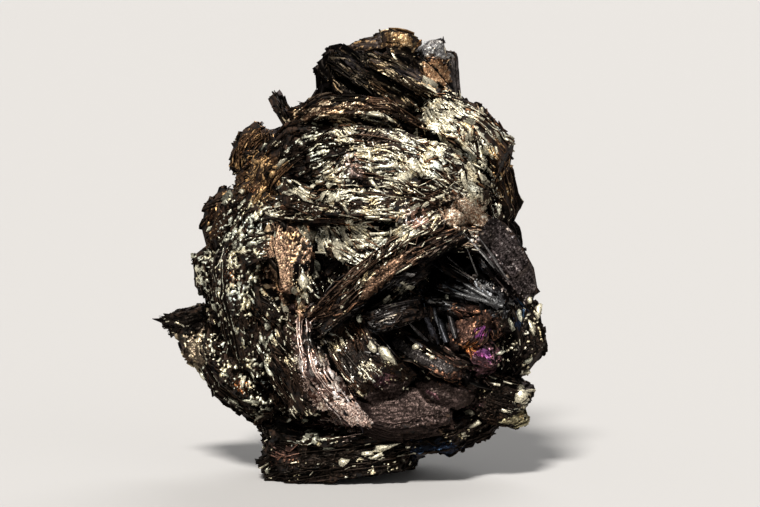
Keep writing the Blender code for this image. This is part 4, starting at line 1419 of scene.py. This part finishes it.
def chips(solid, builder):
    """The thick chips of the front, painted bright as glints, laid on the surface where the camera sees them.
    """
    rng = np.random.default_rng(SEED + 1)
    for chip in CHIPS:
        place, normal = solid.seen(chip.at)
        if place is None:
            continue
        normal = CHIP_TO_SURFACE * normal + CHIP_TO_CAMERA * CAMERA_BACK
        normal = unit(normal + CHIP_LEAN * rng.uniform(-1, 1, 3))
        turn = math.radians(chip.turn)
        along = math.cos(turn) * CAMERA_RIGHT + math.sin(turn) * CAMERA_UP
        along = unit(along - normal * dots(along, normal))
        across = np.cross(normal, along)
        spaced = np.arange(CHIP_CORNERS) + rng.uniform(-CHIP_SPACING, CHIP_SPACING, CHIP_CORNERS)
        angle = 2 * np.pi * spaced / CHIP_CORNERS
        reach = rng.uniform(*CHIP_REACH, CHIP_CORNERS)
        ring = np.multiply.outer(np.cos(angle) * reach * chip.size[0] / 2, along)
        ring += np.multiply.outer(np.sin(angle) * reach * chip.size[1] / 2, across)
        place = place + CHIP_LIFT * CAMERA_BACK
        half = normal * CHIP_HALF_THICKNESS
        # The chip's colour is a painted glint
        tones = linear(chip.colour) * rng.uniform(*CHIP_TONE, (CHIP_CORNERS, 1))
        builder.slab(place + half + ring, place - half + CHIP_FLARE * ring, tones)


def blades(solid, builder):
    """The blades of the recess: each is widest near its start, thins to its end, and has an edge painted
    lighter, as a highlight.
    """
    rng = np.random.default_rng(SEED + 2)
    for blade in BLADES:
        ends = zip((blade.start, blade.end), blade.lift)
        start, end = (solid.seen(at)[0] + CAMERA_BACK * out for at, out in ends)
        t = np.linspace(0, 1, BLADE_STEPS)[:, None]
        along = unit(end - start)
        across = unit(np.cross(CAMERA_BACK, along))
        swell = BLADE_START + BLADE_SWELL * np.sin(np.pi * t)
        half = blade.width / 2 * (1 - t**2) ** 0.5 * swell
        half *= rng.uniform(*BLADE_RAGGED, (BLADE_STEPS, 1))
        line = start + (end - start) * t
        thick = unit(np.cross(along, across)) * BLADE_THICKNESS / 2
        edge = line + across * half
        root = line - across * half - CAMERA_BACK * half * BLADE_ROOT
        # The colour is painted light, and the edge is painted lighter still: painted highlight
        colour = linear(blade.colour)
        rims = colour * rng.uniform(*BLADE_RIMS, (BLADE_STEPS - 1, 1))
        faces = colour * rng.uniform(*BLADE_FACES, (BLADE_STEPS - 1, 1))
        builder.strip(edge + thick, edge - thick, root, np.minimum(rims, 1), faces)


def moved(grid, reach, axis):
    """Copies of a grid of numbers, moved along one axis by each step within reach."""
    padded = np.pad(grid, [(reach, reach) if a == axis else (0, 0) for a in (0, 1)], mode="edge")
    return [padded.take(range(k, k + grid.shape[axis]), axis) for k in range(2 * reach + 1)]


def smoothed(grid, reach):
    """A grid of numbers, each the mean of those within reach of it."""
    for axis in (0, 1):
        grid = sum(moved(grid, reach, axis)) / (2 * reach + 1)
    return grid


def raised(grid, reach):
    """A grid of numbers, each the most of those within reach of it."""
    for axis in (0, 1):
        grid = np.max(moved(grid, reach, axis), axis=0)
    return grid


def cell_corners(grid):
    """The numbers at the four corners of each cell of a grid."""
    return np.stack([grid[:-1, :-1], grid[1:, :-1], grid[:-1, 1:], grid[1:, 1:]])


def crust_grid(solid, crust):
    """A grid over a crust: across and up in the picture, the depth inside its border, and its points."""
    corners = np.array(crust.outline)
    low, high = corners.min(0) - 2 * CRUST_STEP, corners.max(0) + 2 * CRUST_STEP
    up, across = np.mgrid[low[1]:high[1]:CRUST_STEP, low[0]:high[0]:CRUST_STEP]
    depth = inside_depth(crust.outline, across, up)
    found = np.zeros((*depth.shape, 3))
    for i in np.ndindex(depth.shape):
        place = solid.seen((across[i], up[i]))[0]
        found[i] = np.nan if place is None else place
    return across, up, depth, found


def crust_patterns(crust, across, up, rng):
    """The rough, the lined, the broad and the gritty pattern of a crust, as grids."""
    along, beside = on_lines(across, up, crust.lines)
    stretch_along, stretch_beside = CRUST_LINE_STRETCH
    flat = np.zeros_like(up)
    cells = np.stack([across, up, flat], axis=-1).reshape(-1, 3)
    streaks = np.stack([along * stretch_along, beside * stretch_beside, flat], axis=-1).reshape(-1, 3)
    rough = cloud(cells + CRUST_ROUGH_START, CRUST_ROUGH_SIZE).reshape(up.shape)
    lined = cloud(streaks, CRUST_LINE_SIZE).reshape(up.shape)
    broad = cloud(cells + CRUST_BROAD_START, CRUST_BROAD_SIZE).reshape(up.shape)
    return rough, lined, broad, rng.standard_normal(up.shape)


def crust_pieces(solid, builder):
    """The crusts: each is draped over the surface that the camera sees, and sinks into it at its border."""
    rng = np.random.default_rng(SEED + 3)
    for crust in CRUSTS:
        across, up, depth, found = crust_grid(solid, crust)
        missed = np.isnan(found[:, :, 0])
        height = found @ CAMERA_BACK
        height = np.where(missed, np.nanmin(height), height)
        drape = smoothed(raised(height, DRAPE_RAISED), DRAPE_SMOOTHED)
        rough, lined, broad, grit = crust_patterns(crust, across, up, rng)
        edge = np.clip((depth + CRUST_RAGGED * rough) / CRUST_BORDER, 0, 1)
        rise = CRUST_DRAPE * np.clip(drape - height, 0, CRUST_DEEPEST)
        rise += crust.lift * (1 + CRUST_BROAD * broad)
        rise += crust.grain * (rough + lined + CRUST_GRIT * grit)
        rise = np.where(missed, -1.0, rise * edge - CRUST_SINK * (1 - edge))
        points = found + rise[:, :, None] * CAMERA_BACK
        filled = cell_corners((depth > -CRUST_STEP) & ~missed).all(0)
        filled &= np.ptp(cell_corners(height), axis=0) < CRUST_TEAR
        builder.sheet(points, filled, crust_tint(LOOKS[crust.look], rough, lined, broad, grit))


def crust_tint(look, rough, lined, broad, grit):
    """The colour at each point of a crust: dull, with a lighter grain and lines, and a few bright grains
    painted as glints.
    """
    least, more = CRUST_GRIT_TINT
    grit = grit * (least + more * look.share)
    base, of_lined, of_rough, of_broad = CRUST_LIGHT
    light = base + of_lined * lined + of_rough * rough + of_broad * broad + grit
    light = np.clip(light, 0, CRUST_MOST_LIGHT)[:, :, None]
    tint = linear(look.face) * (1 - light) + linear(look.rim) * light
    # The bright grains are painted glints: painted highlights
    of_lined, of_grit = CRUST_BRIGHT
    bright = rough + of_lined * lined + of_grit * grit - CRUST_BRIGHT_LEVEL + look.share
    bright = np.clip(bright * CRUST_BRIGHT_EDGE, 0, 1)[:, :, None]
    return tint * (1 - bright) + linear(look.spark) * bright


def swirled(points, angle):
    """The angle of the lines at each point, drawn towards the flows of the front."""
    across, up = in_picture(points)
    x, y = np.cos(2 * angle), np.sin(2 * angle)
    for flow in FLOWS:
        near = np.hypot((across - flow.at[0]) / flow.half[0], (up - flow.at[1]) / flow.half[1])
        pull = FLOW_PULL * np.exp(-FLOW_FADE * near**2) * (points[:, 1] < FLOW_DEPTH)
        x += pull * math.cos(2 * math.radians(flow.angle))
        y += pull * math.sin(2 * math.radians(flow.angle))
    return 0.5 * np.arctan2(y, x)


def view_axes(view):
    """The directions to the right, up and backwards of someone who looks at the specimen from one side."""
    azimuth, rise = math.radians(view.azimuth), math.radians(view.rise)
    level = math.cos(rise)
    right = np.array((math.cos(azimuth), math.sin(azimuth), 0.0))
    back = np.array((math.sin(azimuth) * level, -math.cos(azimuth) * level, math.sin(rise)))
    return right, np.cross(back, right), back


def laid_grid(solid, view):
    """A grid over what a view sees: its points and the surface's normals there, NaN where it misses."""
    right, up, back = view_axes(view)
    corners = solid.corners.reshape(-1, 3)
    low_u, high_u = (corners @ right).min(), (corners @ right).max()
    low_v, high_v = (corners @ up).min(), (corners @ up).max()
    v, u = np.mgrid[low_v:high_v:view.step, low_u:high_u:view.step]
    points = np.full((*u.shape, 3), np.nan)
    facing = np.full((*u.shape, 3), np.nan)
    starts = np.multiply.outer(u, right) + np.multiply.outer(v, up) + back * VIEW_DISTANCE
    sight = Vector(-back)
    for i in np.ndindex(u.shape):
        place, normal, _, _ = solid.tree.ray_cast(Vector(starts[i]), sight)
        if place is not None:
            points[i], facing[i] = place, normal
    return points, facing


def line_angles(points, facing, normals, lengths, view):
    """The angle of the plates' lines at each point of a grid, as the view sees it."""
    right, up, _ = view_axes(view)
    trace, _ = surface_trace(normals, facing, lengths)
    angle = swirled(points, np.arctan2(trace @ up, trace @ right))
    large, small = SWIRL_SIZES
    swirl = cloud(points, large) + SMALL_SWIRL * cloud(points + SMALL_SWIRL_START, small)
    return angle + STREAK_SWIRL * swirl


def combed(chance, angle, reach):
    """Random numbers, each averaged along the lines, so that they run together into streaks."""
    high, wide = chance.shape
    total = chance.copy()
    for way in (1.0, -1.0):
        row, column = (part.astype(float) for part in np.indices(chance.shape))
        down, across = np.sin(angle) * way, np.cos(angle) * way
        for _ in range(reach):
            row, column = row + down, column + across
            i = np.clip(np.rint(row), 0, high - 1).astype(int)
            j = np.clip(np.rint(column), 0, wide - 1).astype(int)
            total += chance[i, j]
            next_down, next_across = np.sin(angle[i, j]), np.cos(angle[i, j])
            same = np.where(next_down * down + next_across * across < 0, -1.0, 1.0)
            down, across = next_down * same, next_across * same
    return (total - total.mean()) / total.std()


def streaked(weights, fine, coarse):
    """A base, and what the fine and the coarse streaks add to it."""
    base, of_fine, of_coarse = weights
    return base + of_fine * fine + of_coarse * coarse


def skin_patterns(angles, looks, hit, step, rng):
    """Fine and coarse streaks along the lines of a sheet, with grains instead on the grainy finishes."""
    angle = np.zeros(hit.shape)
    angle[hit] = angles
    across, up = smoothed(np.cos(2 * angle), 2), smoothed(np.sin(2 * angle), 2)
    angle = 0.5 * np.arctan2(up, across)
    fine = combed(rng.standard_normal(hit.shape), angle, round(SHORT_STREAK / step))
    coarse = combed(smoothed(rng.standard_normal(hit.shape), 1), angle, round(LONG_STREAK / step))
    blots = smoothed(smoothed(rng.standard_normal(hit.shape), round(BLOT_SIZE / step)), 1)
    pepper = smoothed(rng.standard_normal(hit.shape), 1)
    grainy = np.isin(looks, [LOOK_NAMES.index(name) for name in GRAINY])
    of_fine, of_pepper = PEPPER
    peppered = of_fine * fine[hit] + of_pepper * (pepper / pepper.std())[hit]
    coarse = np.where(grainy, (blots / blots.std())[hit], coarse[hit])
    return np.where(grainy, peppered, fine[hit]), coarse


def skin_tint(looks, fine, coarse, clouds, patches):
    """The colour of the skin at each point: dull streaks, with the finish's share of bright ones painted as
    glints.
    """
    rim, face, spark = look_colours(looks)
    light = np.clip(streaked(SKIN_DULL, fine, coarse), 0, MOST_DULL)[:, None]
    tone = np.exp(PATCH_TONE * patches)[:, None]
    dull = (face * (1 - light) + rim * light) * tone
    # The bright streaks are painted glints: painted highlights
    shine = SHINE_STREAKS * coarse + SHINE_STREAKS * fine + SHINE_CLOUDS * clouds + SHINE_CLOUDS * patches
    bright = np.zeros(len(looks))
    for number, name in enumerate(LOOK_NAMES):
        here = looks == number
        if here.any():
            least = np.quantile(shine[here], 1 - LOOKS[name].share)
            bright[here] = np.clip(0.5 + SHINE_EDGE * (shine[here] - least), 0, 1)
    bright *= np.clip(1.0 + SHINE_GAPS * (fine + SHINE_GAP_LEVEL), SHINE_LEAST, 1)
    glow = spark * np.clip(streaked(SKIN_GLOW, fine, coarse), *GLOW_RANGE)[:, None]
    glow = glow * (1 + np.outer(clouds, CLOUD_TINT))
    return dull * (1 - bright[:, None]) + glow * bright[:, None]


def skin_sheet(solid, frames, number):
    """One sheet of the skin: the points of its grid, the cells that are filled, and each point's colour."""
    view = VIEWS[number]
    back = view_axes(view)[2]
    rng = np.random.default_rng([SEED, SKIN_SEED + number])
    points, facing = laid_grid(solid, view)
    hit = ~np.isnan(points[:, :, 0])
    spots, faces_to = points[hit], facing[hit]
    which, normals, lengths = plates_under(frames, spots, faces_to)
    looks = finishes_and_glints(spots + SKIN_SPREAD * rng.standard_normal(spots.shape), faces_to, which)
    angles = line_angles(spots, faces_to, normals, lengths, view)
    fine, coarse = skin_patterns(angles, looks, hit, view.step, rng)
    clouds, patches = cloud(spots, CLUSTER_SIZE), cloud(spots + PATCH_START, PATCH_SIZE)
    tint = np.zeros((*hit.shape, 3))
    tint[hit] = skin_tint(looks, fine, coarse, clouds, patches)

    claims = np.stack([facing @ view_axes(other)[2] + other.claim for other in VIEWS])
    mine = hit & (claims[number] >= claims.max(0) - VIEW_OVERLAP) & (facing @ back > VIEW_STEEPEST)
    inner = sum(smoothed(mine.astype(float), reach) > 0.999 for reach in SKIN_BORDER) / len(SKIN_BORDER)
    grain = look_column(looks, "size")[:, 2] * SKIN_GRAIN
    rise = np.zeros(hit.shape)
    rise[hit] = SKIN_LIFT + grain * streaked(SKIN_RELIEF, fine, coarse)
    rise = np.clip(rise, *SKIN_RANGE) * inner - SKIN_SINK * (1 - inner)
    placed = np.where(hit[:, :, None], points + rise[:, :, None] * back, 0.0)
    above_floor(placed)
    depth = np.where(hit, points @ back, NOTHING_BEHIND)
    filled = cell_corners(mine).all(0) & (np.ptp(cell_corners(depth), axis=0) < SKIN_TEAR)
    filled &= cell_corners(rise).max(0) >= SKIN_HIDDEN
    return placed, filled, tint


def skin_pieces(frames, solid, crystal):
    """The skin, in pieces: the front's two halves, and each other side."""
    for number, view in enumerate(VIEWS):
        points, filled, tint = skin_sheet(solid, frames, number)
        rows = np.arange(len(filled))[:, None]
        halves = (rows * 2 < len(filled), rows * 2 >= len(filled)) if view.name == "front" else (rows >= 0,)
        for part, half in zip(("low", "high"), halves):
            builder = Builder()
            builder.sheet(points, filled & half, tint)
            builder.piece("skin_%s_%s" % (view.name, part), crystal)


def short_plate_pieces(frames, solid, crystal):
    """The short plates, in six pieces: front and back, at three heights."""
    rng = np.random.default_rng(SEED)
    plates = scatter(frames, solid, rng)
    bundle(plates, solid.areas.sum(), rng)
    sparkle(plates, rng)
    lean(plates, rng)
    top, bottom, inner = shape(plates, solid, rng)
    rims, faces = colours(plates, rng)
    front = plates.points[:, 1] < PIECES_BACK
    high = plates.points[:, 2] > PIECES_HIGH
    low = plates.points[:, 2] <= PIECES_MIDDLE
    for side, on_side in (("front", front), ("back", ~front)):
        for level, at_level in (("high", high), ("middle", ~high & ~low), ("low", low)):
            part = on_side & at_level
            builder = Builder()
            builder.wedges(top[part], bottom[part], inner[part], rims[part], faces[part])
            builder.piece("plates_%s_%s" % (side, level), crystal)


def long_plate_piece(frames, solid, crystal):
    """The long plates of every book whose edges show, as one piece."""
    builder = Builder()
    for number, frame in enumerate(frames):
        if abs(frame.book.lay) <= LONG_LAY:
            long_plates(number, frame, solid, builder)
    builder.piece("long_plates", crystal)


def front_piece(solid, crystal):
    """The chips, the blades and the crusts of the front, as one piece."""
    builder = Builder()
    chips(solid, builder)
    blades(solid, builder)
    crust_pieces(solid, builder)
    builder.piece("crusts_and_chips", crystal)


def new_material(name):
    made = bpy.data.materials.new(name)
    made.use_nodes = True
    return made, made.node_tree


def add_noise(tree, place, scale, detail):
    """Noise over the object's own coordinates."""
    made = tree.nodes.new("ShaderNodeTexNoise")
    made.inputs["Scale"].default_value = scale
    made.inputs["Detail"].default_value = detail
    tree.links.new(place.outputs["Object"], made.inputs["Vector"])
    return made.outputs["Fac"]


def add_range(tree, value, source, target):
    """Maps one range of a value to another."""
    made = tree.nodes.new("ShaderNodeMapRange")
    for name, number in zip(("From Min", "From Max", "To Min", "To Max"), (*source, *target)):
        made.inputs[name].default_value = number
    tree.links.new(value, made.inputs["Value"])
    return made.outputs["Result"]


def add_product(tree, kind, a, b):
    """Multiplies two values, or a colour by a value."""
    made = tree.nodes.new(kind)
    made.operation = "MULTIPLY"
    tree.links.new(a, made.inputs[0])
    tree.links.new(b, made.inputs[1])
    return made.outputs[0]


def plate_material():
    """Plates coloured by their own tint, with a fine patchy tarnish and a finer grain."""
    made, tree = new_material("tarnished_plates")
    shader = tree.nodes["Principled BSDF"]
    shader.inputs["Metallic"].default_value = PLATE_METALLIC
    shader.inputs["Specular IOR Level"].default_value = PLATE_SPECULAR
    shader.inputs["Specular Tint"].default_value = PLATE_SPECULAR_TINT
    tint = tree.nodes.new("ShaderNodeVertexColor")
    tint.layer_name = "tint"
    place = tree.nodes.new("ShaderNodeTexCoord")
    patch = add_noise(tree, place, *TARNISH[:2])
    tarnish = add_range(tree, patch, *TARNISH[2:])
    grain = add_range(tree, add_noise(tree, place, *GRAIN[:2]), *GRAIN[2:])
    shade = add_product(tree, "ShaderNodeMath", tarnish, grain)
    colour = add_product(tree, "ShaderNodeVectorMath", tint.outputs["Color"], shade)
    tree.links.new(colour, shader.inputs["Base Color"])
    tree.links.new(add_range(tree, patch, (0, 1), PLATE_ROUGHNESS), shader.inputs["Roughness"])
    return made


def ground_material():
    """The dark material between the plates: near black, the specimen's own dark colour and painted shade in
    the gaps, with brown patches and a fine leafy grain.
    """
    made, tree = new_material("dark_between")
    shader = tree.nodes["Principled BSDF"]
    shader.inputs["Roughness"].default_value = GROUND_ROUGHNESS
    shader.inputs["Specular IOR Level"].default_value = GROUND_SPECULAR
    patch = add_noise(tree, tree.nodes.new("ShaderNodeTexCoord"), *GROUND_NOISE)
    ramp = tree.nodes.new("ShaderNodeValToRGB")
    for element, (position, colour) in zip(ramp.color_ramp.elements, GROUND_COLOURS):
        element.position = position
        element.color = (*linear(colour), 1)
    tree.links.new(patch, ramp.inputs["Fac"])
    tree.links.new(ramp.outputs["Color"], shader.inputs["Base Color"])
    bump = tree.nodes.new("ShaderNodeBump")
    bump.inputs["Strength"].default_value = GROUND_BUMP
    bump.inputs["Distance"].default_value = GROUND_BUMP_HEIGHT
    tree.links.new(patch, bump.inputs["Height"])
    tree.links.new(bump.outputs["Normal"], shader.inputs["Normal"])
    return made


def floor():
    """The plain pale floor."""
    bpy.ops.mesh.primitive_circle_add(vertices=FLOOR_SIDES, radius=FLOOR_RADIUS, fill_type="NGON")
    made = bpy.context.object
    made.name = "pale_floor"
    paint, tree = new_material("pale_floor")
    shader = tree.nodes["Principled BSDF"]
    shader.inputs["Base Color"].default_value = FLOOR_COLOUR
    shader.inputs["Roughness"].default_value = FLOOR_ROUGHNESS
    made.data.materials.append(paint)


def soft_sun(sun):
    """A far, soft light that shines from the direction of a place."""
    data = bpy.data.lights.new(sun.name, "SUN")
    data.energy = sun.strength
    data.angle = math.radians(sun.angle)
    data.color = sun.colour
    made = bpy.data.objects.new(sun.name, data)
    made.rotation_euler = (-Vector(sun.place)).to_track_quat("-Z", "Y").to_euler()
    bpy.context.scene.collection.objects.link(made)


def studio():
    """Soft studio light: a key from above the left shoulder, a weak fill from the right, and a pale world."""
    for sun in SUNS:
        soft_sun(sun)
    world = bpy.data.worlds.new("studio")
    world.use_nodes = True
    tree = world.node_tree
    background = tree.nodes["Background"]
    background.inputs["Color"].default_value = WORLD_COLOUR
    to_camera = tree.nodes.new("ShaderNodeLightPath").outputs["Is Camera Ray"]
    strength = add_range(tree, to_camera, (0, 1), (WORLD_LIGHT, BACKDROP))
    tree.links.new(strength, background.inputs["Strength"])
    bpy.context.scene.world = world


def camera():
    """The photograph's view: slightly above, from straight in front."""
    data = bpy.data.cameras.new("photo_view")
    data.sensor_width = SENSOR_WIDTH
    data.lens = SENSOR_WIDTH * CAMERA_DISTANCE / (WIDTH_PX * MM_PER_PX)
    data.clip_start = 0.01
    made = bpy.data.objects.new("photo_view", data)
    made.location = CAMERA_PLACE * MM
    made.rotation_euler = Vector(-CAMERA_BACK).to_track_quat("-Z", "Y").to_euler()
    bpy.context.scene.collection.objects.link(made)
    bpy.context.scene.camera = made


def main():
    """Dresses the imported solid, and sets the floor, the light and the camera."""
    noise.seed_set(SEED)
    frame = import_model()
    node = frame["nodes"]["covellite_specimen"]
    node.data.materials.clear()
    node.data.materials.append(ground_material())

    solid = Solid(node)
    frames = [Frame(book) for book in BOOKS]
    crystal = plate_material()
    skin_pieces(frames, solid, crystal)
    short_plate_pieces(frames, solid, crystal)
    long_plate_piece(frames, solid, crystal)
    front_piece(solid, crystal)

    floor()
    studio()
    camera()
    bpy.context.scene.view_settings.view_transform = "Standard"


main()
